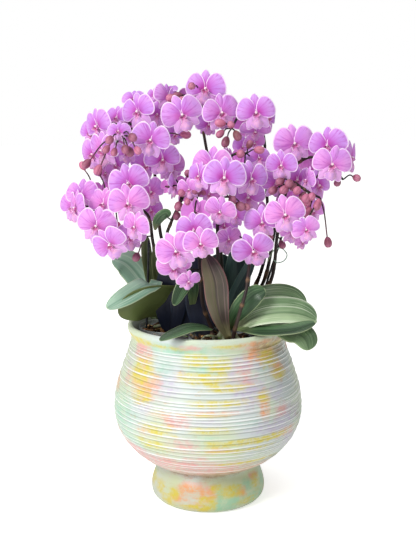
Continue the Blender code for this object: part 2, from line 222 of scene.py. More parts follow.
def gridFaces(rows, cols, around=False):
    wide = cols if around else cols - 1
    return [
        (i * cols + j, i * cols + (j + 1) % cols, (i + 1) * cols + (j + 1) % cols, (i + 1) * cols + j)
        for i in range(rows - 1) for j in range(wide)
    ]


def sheetFaces(rows, cols, flipped=False):  # a thin sheet of two sides, closed round its border
    top, count = gridFaces(rows, cols), rows * cols
    border = [*range(cols), *range(2 * cols - 1, count, cols)]
    border += [*range(count - 2, count - cols - 1, -1), *range(count - 2 * cols, 0, -cols)]
    walls = [(b, a, a + count, b + count) for a, b in zip(border, border[1:] + border[:1])]
    faces = [*top, *(tuple(i + count for i in face[::-1]) for face in top), *walls]
    return [face[::-1] for face in faces] if flipped else faces


def tube(heap, path, radii, sides=7, look=0, **marks):
    path = np.asarray(path, float)
    radii = np.broadcast_to(radii, len(path))
    ahead = unit(np.gradient(path, axis=0))
    side = unit(np.cross(ahead[0], (0.3, 0.1, 1) if abs(ahead[0][2]) < 0.9 else (1, 0.2, 0)))
    turn = np.arange(sides) / sides * 2 * math.pi
    rings = []
    for spot, way, radius in zip(path, ahead, radii):
        side = unit(side - way * side.dot(way))
        other = np.cross(way, side)
        rings.append(spot + radius * (np.cos(turn)[:, None] * side + np.sin(turn)[:, None] * other))
    faces = gridFaces(len(path), sides, True)
    last = (len(path) - 1) * sides
    faces += [tuple(range(sides))[::-1], tuple(last + j for j in range(sides))]
    along = np.repeat(np.linspace(0, 1, len(path)), sides)
    given = {key: np.repeat(value, sides) if np.ndim(value) else value for key, value in marks.items()}
    heap.add(np.vstack(rings), faces, look, along=along, **given)


def lathe(outline, steps, wobble=None):  # outline from the bottom of the axis round and back to it
    turn = np.arange(steps) / steps * 2 * math.pi
    radius, height = np.array(outline).T
    radius, height = np.repeat(radius[:, None], steps, 1), np.repeat(height[:, None], steps, 1)
    angle = np.broadcast_to(turn, radius.shape)
    if wobble:
        radius, height = wobble(radius, height, angle)
    points = np.stack([radius * np.cos(angle), radius * np.sin(angle), height], -1).reshape(-1, 3)
    rows = len(outline)
    faces = gridFaces(rows, steps, True)
    faces += [tuple(range(steps))[::-1], tuple((rows - 1) * steps + j for j in range(steps))]
    return points, faces


# Camera, floor and light
stageSizes = {
    "eye": (0, -1.14, 0.485), "pitch": 79.5, "lens": 62.53,
    "ambient": 0.27, "floor": (246, 246, 244), "floorGrain": (252, 252, 251),
    "floorGlow": (0.12, 0.57),  # as the vase sees it, as the camera sees it
    "lamps": [  # kind, place, aim, size, strength, colour
        ("AREA", (-1.3, -1.5, 1.5), (0, 0, 0.28), 0.9, 38, (1.0, 0.985, 0.96)),
        ("AREA", (1.5, -1.1, 0.9), (0, 0, 0.25), 1.4, 1.5, (0.95, 0.97, 1.0)),
        ("SUN", (0, 0, 2), (0, 0.2, 0), 0.9, 1.1, (1.0, 1.0, 1.0)),
    ],
}


def buildStage(spec):
    camera = placed("camera", bpy.data.cameras.new("camera"))
    camera.location = spec["eye"]
    camera.rotation_euler = (math.radians(spec["pitch"]), 0, 0)
    camera.data.lens = spec["lens"]
    camera.data.clip_end = 30
    bpy.context.scene.camera = camera
    for i, (kind, place, aim, size, strength, colour) in enumerate(spec["lamps"]):
        lamp = bpy.data.lights.new(f"lamp{i}", kind)
        setattr(lamp, "angle" if kind == "SUN" else "size", size)
        lamp.energy, lamp.color = strength, colour
        holder = placed(f"lamp{i}", lamp)
        holder.location = place
        holder.rotation_euler = (Vector(aim) - Vector(place)).to_track_quat("-Z", "Y").to_euler()
    world = bpy.data.worlds.new("studio")
    bpy.context.scene.world = world
    world.use_nodes = True
    nodes, links = world.node_tree.nodes, world.node_tree.links
    # The camera sees a white room, and the room lights the vase less than that.
    seen, lit = nodes["Background"], nodes.new("ShaderNodeBackground")
    seen.inputs[0].default_value = lit.inputs[0].default_value = (1, 1, 1, 1)
    seen.inputs[1].default_value, lit.inputs[1].default_value = 1.0, spec["ambient"]
    mix, path = nodes.new("ShaderNodeMixShader"), nodes.new("ShaderNodeLightPath")
    links.new(path.outputs["Is Camera Ray"], mix.inputs[0])
    links.new(lit.outputs[0], mix.inputs[1])
    links.new(seen.outputs[0], mix.inputs[2])
    links.new(mix.outputs[0], nodes["World Output"].inputs[0])
    bpy.context.scene.view_settings.view_transform = "Standard"
    look = Look("paleFloor", {"Roughness": 0.9, "Emission Strength": 1.0})
    grain = look.noise(look.place(), 40.0)
    look.finish(
        Base_Color=look.coats(spec["floor"], (grain, spec["floorGrain"])),
        Emission_Color=look.blend(look.node("LightPath"), *((glow,) * 3 for glow in spec["floorGlow"])),
    )
    mesh = bpy.data.meshes.new("floor")
    mesh.from_pydata([(-6, -3, 0), (6, -3, 0), (6, 9, 0), (-6, 9, 0)], [], [(0, 1, 2, 3)])
    mesh.materials.append(look.material)
    placed("floor", mesh)


buildStage(stageSizes)
print("stage ready")


# Vase
vaseShape = {
    "throat": 0.0925, "throatZ": 0.203, "belly": 0.114, "bellyZ": 0.116,
    "waist": 0.060, "waistZ": 0.045, "wall": 0.006, "rows": 380, "steps": 216,
    "lip": [(0.0920, 0.2040), (0.0924, 0.2056), (0.0940, 0.2078), (0.0963, 0.2120), (0.0969, 0.2150),
            (0.0968, 0.2172), (0.0962, 0.2188), (0.0950, 0.2198), (0.0936, 0.2200), (0.0922, 0.2196),
            (0.0912, 0.2184), (0.0908, 0.2165)],
    "foot": [(0.0, 0.0), (0.030, 0.0), (0.0560, 0.0), (0.0602, 0.0), (0.0628, 0.0010), (0.0652, 0.0026),
             (0.0672, 0.0046), (0.0688, 0.0070), (0.0697, 0.0100), (0.0701, 0.0140), (0.0699, 0.0180),
             (0.0693, 0.0215), (0.0684, 0.0250), (0.0673, 0.0285), (0.0661, 0.0318), (0.0649, 0.0345),
             (0.0635, 0.0370), (0.0622, 0.0392), (0.0611, 0.0418)],
    "ribGaps": [4.0, 4.0, 4.4, 5.0, 5.6, 5.8, 5.8, 5.8, 5.6, 5.0, 4.2, 3.4, 3.2, 3.2, 3.2, 3.2, 3.8, 4.8,
                5.8, 6.2, 6.2, 6.0, 5.6, 5.2, 4.8, 4.8, 4.6, 4.4, 4.2, 4.0, 4.0, 3.8],
    "ribTop": 202, "ribHeight": 0.0012, "ribWidth": 0.001, "ribWaves": {1: 0.0007, 2: 0.00035, 5: 0.00015},
    "shadowDrop": 0.24, "shadowWidth": 0.0009, "sway": 0.0003,
}
# Soft blots of colour: angle from the front (right is positive), height in mm, half-widths in
# degrees and mm, strength.
glazeBlots = {
    "yellow": [
        (-8, 196, 9, 7, 1.0), (8, 190, 8, 8, 1.1), (-3, 176, 15, 6, 1.0), (12, 166, 12, 4, 0.9),
        (5, 150, 18, 4, 0.8), (-50, 176, 10, 14, 1.0), (-44, 150, 8, 10, 0.7), (-30, 116, 12, 8, 0.7),
        (-36, 96, 12, 9, 0.7), (30, 104, 24, 4, 1.1), (20, 93, 22, 3, 0.9), (28, 74, 20, 3, 0.9),
        (48, 192, 9, 10, 0.9), (2, 120, 14, 5, 0.7), (4, 104, 6, 6, 0.7), (54, 172, 8, 6, 0.9),
        (-62, 209, 20, 4, 1.1), (-30, 208, 16, 3, 0.7), (56, 206, 14, 4, 0.9), (14, 211, 12, 2.5, 0.9),
        (36, 152, 5, 6, 0.8), (-6, 138, 18, 3, 0.6), (24, 27, 11, 7, 1.0), (-2, 14, 9, 9, 1.0),
        (-36, 22, 6, 7, 1.0), (-12, 8, 16, 5, 0.9), (-46, 12, 10, 8, 0.7), (-58, 24, 8, 8, 0.8),
        (8, 32, 7, 4, 0.8), (40, 12, 14, 5, 0.6), (60, 30, 10, 10, 0.6), (120, 150, 26, 14, 0.8),
        (170, 95, 24, 9, 0.8), (-130, 120, 26, 8, 0.8), (205, 180, 20, 9, 0.8), (-100, 80, 20, 7, 0.7),
        (150, 22, 16, 9, 0.9), (-140, 20, 18, 9, 0.8), (95, 70, 20, 5, 0.8), (150, 196, 14, 6, 0.8),
        (-165, 150, 16, 7, 0.8), (-80, 26, 14, 8, 0.8), (190, 14, 14, 7, 0.8),
    ],
    "peach": [
        (-46, 164, 12, 20, 0.6), (-30, 134, 10, 6, 0.5), (42, 198, 14, 9, 1.0), (36, 142, 4, 14, 0.9),
        (34, 212, 14, 3, 0.9), (-40, 112, 7, 6, 0.5), (-20, 30, 16, 6, 0.8), (-30, 18, 12, 7, 0.7),
        (4, 97, 8, 3, 0.6), (-4, 24, 12, 8, 0.7), (20, 58, 40, 4, 0.5), (34, 24, 9, 6, 0.6),
        (56, 178, 10, 10, 0.7), (-14, 12, 8, 5, 0.6), (95, 195, 18, 8, 0.8), (-95, 150, 20, 10, 0.7),
        (160, 140, 16, 12, 0.7), (190, 60, 26, 8, 0.7), (-160, 180, 18, 8, 0.8), (110, 70, 20, 9, 0.6),
        (100, 20, 16, 9, 0.9), (-100, 24, 18, 8, 0.9), (170, 24, 14, 8, 0.9),
    ],
    "pink": [
        (-54, 196, 10, 12, 0.9), (-60, 168, 10, 12, 0.5), (-38, 160, 10, 14, 0.6), (24, 180, 10, 14, 0.55),
        (-18, 130, 8, 10, 0.8), (2, 139, 16, 3, 0.8), (-14, 100, 10, 14, 0.6), (8, 94, 9, 2.5, 0.9),
        (-34, 62, 56, 16, 1.2), (-64, 78, 20, 10, 1.1), (-84, 92, 14, 8, 0.8), (-8, 82, 10, 8, 0.6),
        (0, 56, 44, 9, 0.8), (56, 104, 14, 8, 0.6), (-14, 210, 10, 4, 0.7), (28, 208, 12, 3, 0.6),
        (40, 60, 30, 7, 0.6), (0, 30, 8, 5, 0.9), (48, 132, 8, 8, 0.6), (58, 36, 10, 4, 0.9),
        (-16, 36, 14, 3, 0.8), (140, 180, 24, 10, 0.7), (-120, 180, 20, 10, 0.7), (170, 190, 20, 8, 0.6),
        (-150, 68, 44, 12, 0.9), (130, 60, 44, 10, 0.8), (-110, 110, 20, 9, 0.5), (180, 32, 20, 6, 0.8),
        (-120, 34, 16, 6, 0.8),
    ],
    "mint": [
        (-20, 206, 30, 8, 0.7), (0, 187, 16, 7, 0.7), (-66, 120, 20, 30, 0.6), (-50, 92, 24, 8, 0.6),
        (40, 186, 8, 8, 0.5), (18, 12, 14, 8, 1.3), (30, 20, 8, 12, 1.1), (12, 24, 4, 10, 0.9),
        (46, 30, 8, 8, 0.9), (56, 14, 14, 8, 0.9), (64, 116, 14, 14, 0.5), (-6, 110, 14, 6, 0.5),
        (-30, 182, 8, 12, 0.6), (30, 124, 16, 6, 0.5), (60, 70, 18, 6, 0.6), (100, 110, 24, 16, 0.7),
        (180, 150, 24, 16, 0.7), (-140, 150, 24, 16, 0.7), (-90, 30, 18, 8, 0.8), (130, 14, 20, 9, 1.1),
        (-170, 14, 20, 9, 1.1), (-160, 105, 22, 10, 0.7), (80, 26, 14, 9, 0.9),
    ],
    # Painted shade, brownish: round the waist under the bowl, and under the lip and the right-hand leaves,
    # where the glaze is also a little browner.
    "pooled": [
        (52, 208, 18, 6, 0.9), (64, 198, 12, 8, 0.6), (30, 211, 14, 2, 0.5), (0, 50, 95, 7, 0.75),
        (120, 51, 60, 6, 0.6), (-130, 51, 60, 6, 0.6), (60, 66, 34, 9, 0.55), (66, 120, 10, 14, 0.3),
        (-130, 209, 20, 4, 0.5), (160, 208, 18, 4, 0.5),
    ],
    "lilac": [
        (28, 190, 14, 10, 0.9), (26, 160, 12, 18, 0.8), (14, 180, 7, 14, 0.7), (42, 118, 20, 10, 0.7),
        (58, 122, 14, 14, 0.7), (-40, 140, 10, 10, 0.6), (0, 128, 12, 6, 0.5), (44, 154, 12, 10, 0.6),
        (62, 90, 12, 12, 0.6), (-24, 168, 9, 18, 0.6), (-66, 186, 8, 14, 0.5), (115, 130, 22, 12, 0.7),
        (-115, 150, 20, 12, 0.7), (195, 120, 22, 12, 0.7), (150, 110, 14, 9, 0.6), (-150, 200, 16, 7, 0.6),
    ],
}


def vaseLook():
    look = Look("pastelGlaze", {
        "Specular IOR Level": 0.4, "Coat Roughness": 0.25, "Coat Weight": 0.2,
    })
    place = look.place()

    def shifted(**move):
        return look.node("Mapping", None, {"Vector": place, **move})

    edges = look.noise(place, 50.0, 6.0, 0.75) - 0.5
    fine = look.noise(place, 190.0, 3.0, 0.6)
    brushed = look.noise(shifted(Scale=(1.0, 1.0, 5.0)), 60.0, 4.0, 0.7)
    wide = look.noise(place, 16.0, 3.0)
    coats = [(wide.step(0.38, 0.62), (208, 220, 192)), (brushed.step(0.5, 0.75) * 0.5, (196, 214, 186))]
    # The last wash, a grey-brown, is painted shade under the bowl and the lip; the others are the glaze's
    # own colours.
    washes = {
        "mint": (166, 214, 190), "lilac": (200, 190, 214), "pink": (230, 172, 168),
        "peach": (238, 168, 120), "yellow": (220, 206, 84), "pooled": (168, 140, 104),
    }
    for shift, (name, shade) in enumerate(washes.items()):
        grain = look.noise(shifted(Location=(shift, 0.0, 0.0)), 120.0, 5.0, 0.75)
        share = (look.mark(name) * 1.1 + edges * 1.2 + (brushed - 0.5) * 0.9).step(0.1, 0.9)
        coats.append((share * (0.35 + grain.step(0.36, 0.6) * 0.65), shade))
    ridge = look.mark("ridge")
    coats += [
        # The foot is tinted cream and darkened, partly painted shade under the bowl.
        (look.mark("foot") * 0.4, (234, 226, 186), "MULTIPLY"),
        (ridge.step(0.25, 0.85) * 0.85, (246, 248, 247)),
        # Painted shadow under each rib.
        (look.mark("groove").step(0.2, 0.9) * 0.5, (150, 156, 152), "MULTIPLY"),
        (look.mark("inside"), (176, 184, 172)),
        # Painted shade, darker deeper inside the vase.
        (look.mark("deep") * 0.9, (52, 54, 50)),
    ]
    return look.finish(
        Base_Color=look.coats((208, 218, 216), *coats), Roughness=0.34 + fine * 0.16 - ridge * 0.06,
        Bump=(fine + wide * 2, 0.12, 0.0006),
    )


def buildVase(spec, blots):
    upper = np.linspace(0.0445, spec["throatZ"], spec["rows"])
    t = np.clip((upper - spec["bellyZ"]) / (spec["throatZ"] - spec["bellyZ"]), 0, 1)
    bowl = spec["throat"] + (spec["belly"] - spec["throat"]) * (1 - t**2) ** 1.6
    start = math.acos(spec["waist"] / spec["belly"])
    halfHeight = (spec["bellyZ"] - spec["waistZ"]) / math.sin(start)
    drop = np.clip((spec["bellyZ"] - upper) / halfHeight, 0, math.sin(start))
    bowl = np.where(upper < spec["bellyZ"], spec["belly"] * np.sqrt(1 - drop**2), bowl)
    outline = [*spec["foot"], *zip(bowl, upper), *spec["lip"]]
    outer = len(outline)
    inner = [(r - spec["wall"] - 0.0004, z) for r, z in zip(bowl[::-14], upper[::-14]) if z > 0.055]
    outline += [*inner, (0.052, 0.045), (0.050, 0.02), (0.046, 0.008), (0.0, 0.0065)]
    ribs = (spec["ribTop"] - np.cumsum([0, *spec["ribGaps"]])) * mm
    gaps = [*spec["ribGaps"], spec["ribGaps"][-1]]
    marks = {}

    def ribbed(radius, height, angle):
        lift, shadeBelow = np.zeros_like(radius), np.zeros_like(radius)
        draw = np.random.default_rng(11)
        for z, gap in zip(ribs, gaps):
            phases = draw.uniform(0, fullTurn, 3)
            strength = draw.uniform(0.7, 1.15)
            waves = zip(spec["ribWaves"].items(), phases)
            wave = sum(np.sin(angle * k + phase) * size for (k, size), phase in waves)
            ridge = np.exp(-(((height - z - wave) / spec["ribWidth"]) ** 2))
            lift += ridge * strength * (0.8 + 0.25 * np.sin(angle * 3 + phases[0]))
            # A thin line of painted shadow lies just below each rib.
            below = z - (gap * spec["shadowDrop"]) * mm
            shadeBelow += np.exp(-(((height - below - wave) / spec["shadowWidth"]) ** 2))
        shown = np.zeros_like(radius)
        shown[:outer] = 1
        marks["ridge"] = np.clip(lift * shown, 0, 1)
        marks["groove"] = np.clip(shadeBelow * shown * (1 - marks["ridge"]), 0, 1)
        marks["inside"] = 1 - shown
        # Painted shade: the inside wall grows darker deeper down, towards the fill.
        marks["deep"] = marks["inside"] * ((0.213 - height) / 0.014).clip(0, 1)
        # The foot mark tints the foot cream and darkens it, partly painted shade under the bowl.
        marks["foot"] = shown * (1 - ((height - 0.04) / 0.004).clip(0, 1))
        front = np.degrees(angle) + 90
        for name, spots in blots.items():
            total = np.zeros_like(radius)
            for turn, z, wide, tall, strength in spots:
                away = (front - turn + 180) % 360 - 180
                far = (np.abs(away) / wide) ** 2.6 + (np.abs(height / mm - z) / tall) ** 2.6
                total = np.maximum(total, strength * np.exp(-0.75 * far))
            marks[name] = total * shown
        sway = spec["sway"] * np.sin(angle * 2 + 1) * shown * (height > 0.05)
        return radius + (lift * spec["ribHeight"] * shown + sway) * (radius > 0.06), height

    points, faces = lathe(outline, spec["steps"], ribbed)
    heap = Heap()
    heap.add(points, faces, **{name: values.reshape(-1) for name, values in marks.items()})
    heap.piece("vase_shell", [vaseLook()], "pastel_glaze", ["vase"], 60)


buildVase(vaseShape, glazeBlots)
print("vase turned and glazed")


# Pots, bark, roots and pebbles
potShape = {
    "taper": 0.007, "wall": 0.001, "sleeve": (-0.032, -0.034, 0.207), "sleeveHalf": 0.017,
    "chips": 95, "chipLeast": (7, 1.6, 1.2), "chipMost": (17, 6, 3), "gap": 0.0035,
    "roots": 6, "rootRadii": (0.0021, 0.0013), "leafBases": 4,
}
pebbleShape = {"count": 230, "least": 0.0045, "most": 0.0066, "spread": 0.098, "turn": 2.39996}


def plasticLook():
    look = Look("clearPlastic", {
        "Base Color": paint(190, 200, 202), "Alpha": 0.24, "Specular IOR Level": 0.7,
        "Coat Weight": 0.3, "Coat Roughness": 0.1,
    })
    grain = look.noise(look.place(), 90.0, 4.0)
    return look.finish(Roughness=0.12 + grain * 0.2, Bump=(grain, 0.2, 0.0006))


def barkLook():
    look = Look("pineBark", {"Specular IOR Level": 0.25})
    place = look.place()
    grain = look.noise(place, 240.0, 5.0, 0.65)
    tint = look.mark("tint")
    colour = look.coats(
        (58, 40, 26), (tint.step(0.2, 0.8), (140, 102, 60)), (grain.step(0.35, 0.7), (40, 24, 16)),
        (tint.step(0.72, 0.8), (200, 166, 108)),
    )
    return look.finish(Base_Color=colour, Roughness=0.75 + grain * 0.2, Bump=(grain, 0.7, 0.0012))


def rootLook():
    look = Look("aerialRoot", {"Specular IOR Level": 0.3})
    grain = look.noise(look.place(), 180.0, 3.0)
    tip = look.mark("along").step(0.86, 1.0)
    colour = look.coats((150, 156, 132), (grain.step(0.35, 0.65), (112, 122, 84)), (tip, (120, 150, 70)))
    return look.finish(Base_Color=colour, Roughness=0.6 + grain * 0.2, Bump=(grain, 0.3, 0.0005))


def pebbleLook():
    look = Look("bakedClayPebble", {"Specular IOR Level": 0.2})
    pores = look.noise(look.place(), 420.0, 4.0, 0.7)
    tint = look.mark("tint")
    colour = look.coats((110, 62, 40), (tint, (160, 100, 68)), (pores.step(0.5, 0.7), (70, 42, 30)))
    return look.finish(Base_Color=colour, Roughness=0.8 + pores * 0.15, Bump=(pores, 0.6, 0.0008))


def lump(steps, rows):  # a unit ball as a lathe, for pebbles, caps and buds
    turn = np.linspace(0, math.pi, rows + 1)
    return lathe([(math.sin(a), -math.cos(a)) for a in turn[1:-1]], steps)


def chip(heap, spot, size, draw, tint):  # a flake of bark
    corners = np.array([(x, y, z) for x in (-1, 1) for y in (-1, 1) for z in (-1, 1)], float)
    corners = corners * size / 2 * draw.uniform(0.7, 1.15, (8, 3))
    turn, tilt, roll = draw.uniform(0, fullTurn), draw.normal(0, 0.35), draw.normal(0, 0.35)
    cosT, sinT = math.cos(turn), math.sin(turn)
    spin = np.array([[cosT, -sinT, 0], [sinT, cosT, 0], [0, 0, 1]])
    lean = np.array([[1, 0, roll], [0, 1, tilt], [-roll, -tilt, 1]])
    faces = [(0, 1, 3, 2), (4, 6, 7, 5), (0, 4, 5, 1), (2, 3, 7, 6), (0, 2, 6, 4), (1, 5, 7, 3)]
    heap.add(corners @ lean.T @ spin.T + spot, faces, tint=tint)


def crumpledSleeve(spot, half, plastic):  # a scrap of the clear sleeve, left on the bark
    rows, cols, thick = 9, 22, 0.0003
    u, v = np.meshgrid(np.linspace(0, 1, rows), np.linspace(-1, 1, cols), indexing="ij")
    x = v * half + 0.002 * np.sin(u * 9)
    z = 0.010 * u * (1 - 0.3 * v**2) + 0.0015 * np.sin(v * 11 + 1) * u
    y = 0.003 * np.sin(v * 8 + u * 3) + 0.002 * np.sin(v * 17 - u * 7) * u
    sheet = np.stack([x, y, z], -1).reshape(-1, 3) + spot
    heap = Heap()
    heap.add(np.vstack([sheet, sheet + (0, thick, 0)]), sheetFaces(rows, cols))
    heap.piece("sleeve_scrap", [plastic], "clear_plastic")


def turned(outline, steps, centre=0, **marks):  # a heap that starts with one turned solid
    points, faces = lathe(outline, steps)
    heap = Heap()
    heap.add(points + centre, faces, **marks)
    return heap


def buildPot(side, centre, radius, bottom, top, spec, plastic):
    foot = radius - spec["taper"]
    outside = [
        (0, bottom), (foot - 0.003, bottom), (foot, bottom + 0.002), (radius - 0.0016, top - 0.0085),
        (radius - 0.0014, top - 0.006), (radius - 0.0002, top - 0.005), (radius, top - 0.004),
        (radius, top - 0.0008), (radius - 0.0005, top), (radius - 0.0012, top - 0.0004),
    ]
    inside = [(r - spec["wall"], z) for r, z in outside[5:2:-1]]
    inside += [(foot - 0.0012, bottom + 0.003), (0, bottom + 0.0012)]
    heap = turned([*outside, *inside], 72, centre)
    heap.piece("clear_pot_" + side, [plastic], "clear_plastic", ["pot_" + side], 50)


def buildBark(side, centre, fill, bottom, spec, bark, draw):
    foot, top = fill - spec["taper"], barkTop - 0.001
    heap = turned([
        (0, bottom + 0.0016), (foot, bottom + 0.002), (foot + 0.001, bottom + 0.004),
        (fill, barkTop - 0.006), (fill - 0.001, barkTop - 0.002), (fill * 0.8, top),
        (fill * 0.5, top), (0, top),
    ], 48, centre, tint=0.12)
    for _ in range(spec["chips"]):
        turn, far = draw.uniform(0, fullTurn), (fill - 0.005) * math.sqrt(draw.uniform(0.03, 1))
        spot = centre + swung(far, turn, barkTop + draw.uniform(-0.001, 0.0035))
        size = draw.uniform(spec["chipLeast"], spec["chipMost"]) * mm
        chip(heap, spot, size, draw, draw.uniform(0, 1) * (1.0 if side == "left" else 0.8))
    heap.piece("bark_" + side, [bark], "bark_and_roots", ["root_ball_" + side])


def buildRoots(side, centre, spec, roots, draw):
    heap = Heap()
    for _ in range(spec["roots"]):
        turn = draw.uniform(0, fullTurn)
        points = []
        for k in range(5):
            turn += draw.normal(0, 0.3)
            far = 0.006 + 0.0065 * k
            height = barkTop + 0.005 * math.sin(k * 0.9 + 0.6) + 0.002
            points.append(centre + swung(far, turn, height))
        path = smoothPath(points, 6)
        tube(heap, path, np.linspace(*spec["rootRadii"], len(path)) * draw.uniform(0.8, 1.1), 8)
    ball, faces = lump(14, 8)
    for k in range(spec["leafBases"]):  # the short stem, wrapped in old leaf bases
        spread = np.array([0.0075 - k * 0.001, 0.0062 - k * 0.0008, 0.0065])
        spot = centre + (0.001 * k, 0, barkTop + 0.002 + 0.0034 * k)
        heap.add(ball * spread + spot, faces, along=0.95 - 0.1 * k)
    heap.piece("roots_" + side, [roots], "bark_and_roots")


def buildPots(spec):
    plastic, bark, roots = plasticLook(), barkLook(), rootLook()
    centres = []
    for number, side in enumerate(("left", "back", "front")):
        low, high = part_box("pot_" + side)
        radius = (high.x - low.x) / 2
        centre = np.array([*((low + high) / 2).xy, 0])
        buildPot(side, centre, radius, low.z, high.z, spec, plastic)
        if side == "front":
            crumpledSleeve(centre + spec["sleeve"], spec["sleeveHalf"], plastic)
        draw = np.random.default_rng(20 + number)
        buildBark(side, centre, radius - spec["gap"], low.z, spec, bark, draw)
        buildRoots(side, centre, spec, roots, draw)
        centres.append(centre)
    return centres


def buildPebbles(spec):
    bottom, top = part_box("pebble_fill")[0].z, fillTop - 0.007
    heap = turned([
        (0, bottom + 0.0004), (0.044, bottom + 0.001), (0.0485, bottom + 0.012), (0.0505, 0.042),
        (0.068, 0.060), (0.083, 0.078), (0.094, 0.096), (0.098, fillTop - 0.010), (0.090, top),
        (0.04, top), (0, top),
    ], 64, tint=0.3)
    draw = np.random.default_rng(5)
    ball, faces = lump(9, 6)
    for i in range(spec["count"]):
        far, turn = spec["spread"] * math.sqrt((i + 0.5) / spec["count"]), i * spec["turn"]
        size = draw.uniform(spec["least"], spec["most"])
        spot = swung(far, turn, fillTop - size * 1.05 - draw.uniform(0, 0.002))
        heap.add(ball * size * draw.uniform(0.85, 1.1, 3) + spot, faces, tint=draw.uniform(0, 1))
    heap.piece("clay_pebbles", [pebbleLook()], "clay_pebbles", ["pebble_fill"])


potCentres = buildPots(potShape)
buildPebbles(pebbleShape)
print("pots filled")


# Leaves
leafShape = {"rows": 34, "cols": 17, "thick": 0.0019, "edge": 0.0005, "ripple": 0.045, "own": 12}
# Each kind of leaf: how much the two halves differ, as painted light that makes one half lighter, then
# dark, light, stripe, edge (partly a painted highlight), underside, base.
leafKinds = {
    "striped": (-0.32, (78, 112, 72), (178, 206, 158), (232, 243, 218), (232, 243, 218),
        (120, 138, 92), (190, 202, 150)),
    "deep": (0.2, (26, 52, 32), (66, 102, 64), (126, 156, 112), (190, 206, 158),
        (84, 100, 58), (120, 134, 84)),
    "glossy": (-0.25, (62, 96, 60), (144, 176, 128), (190, 212, 170), (212, 226, 180),
        (96, 112, 60), (120, 134, 84)),
    # Dark teal-green, darkened partly as painted shade for leaves that stand in the plants' shadow.
    "dark": (0.2, (22, 38, 42), (50, 82, 76), (62, 96, 84), (84, 112, 96),
        (74, 94, 60), (60, 74, 44)),
    # Not a leaf colour: near-black blue-green that stands in for the deep shade between the plants.
    "shadowFill": (0.2, (9, 13, 32), (17, 25, 46), (26, 36, 60), (38, 52, 74),
        (70, 90, 58), (14, 16, 24)),
    "sage": (-0.15, (98, 138, 116), (158, 192, 168), (188, 212, 190), (206, 220, 180),
        (86, 104, 60), (120, 134, 84)),
    "olive": (0.1, (58, 72, 36), (90, 104, 58), (116, 128, 76), (150, 158, 100),
        (98, 112, 62), (74, 78, 46)),
    "bronze": (0.6, (38, 24, 34), (116, 112, 84), (138, 112, 112), (150, 96, 98),
        (64, 46, 52), (176, 172, 126)),
}
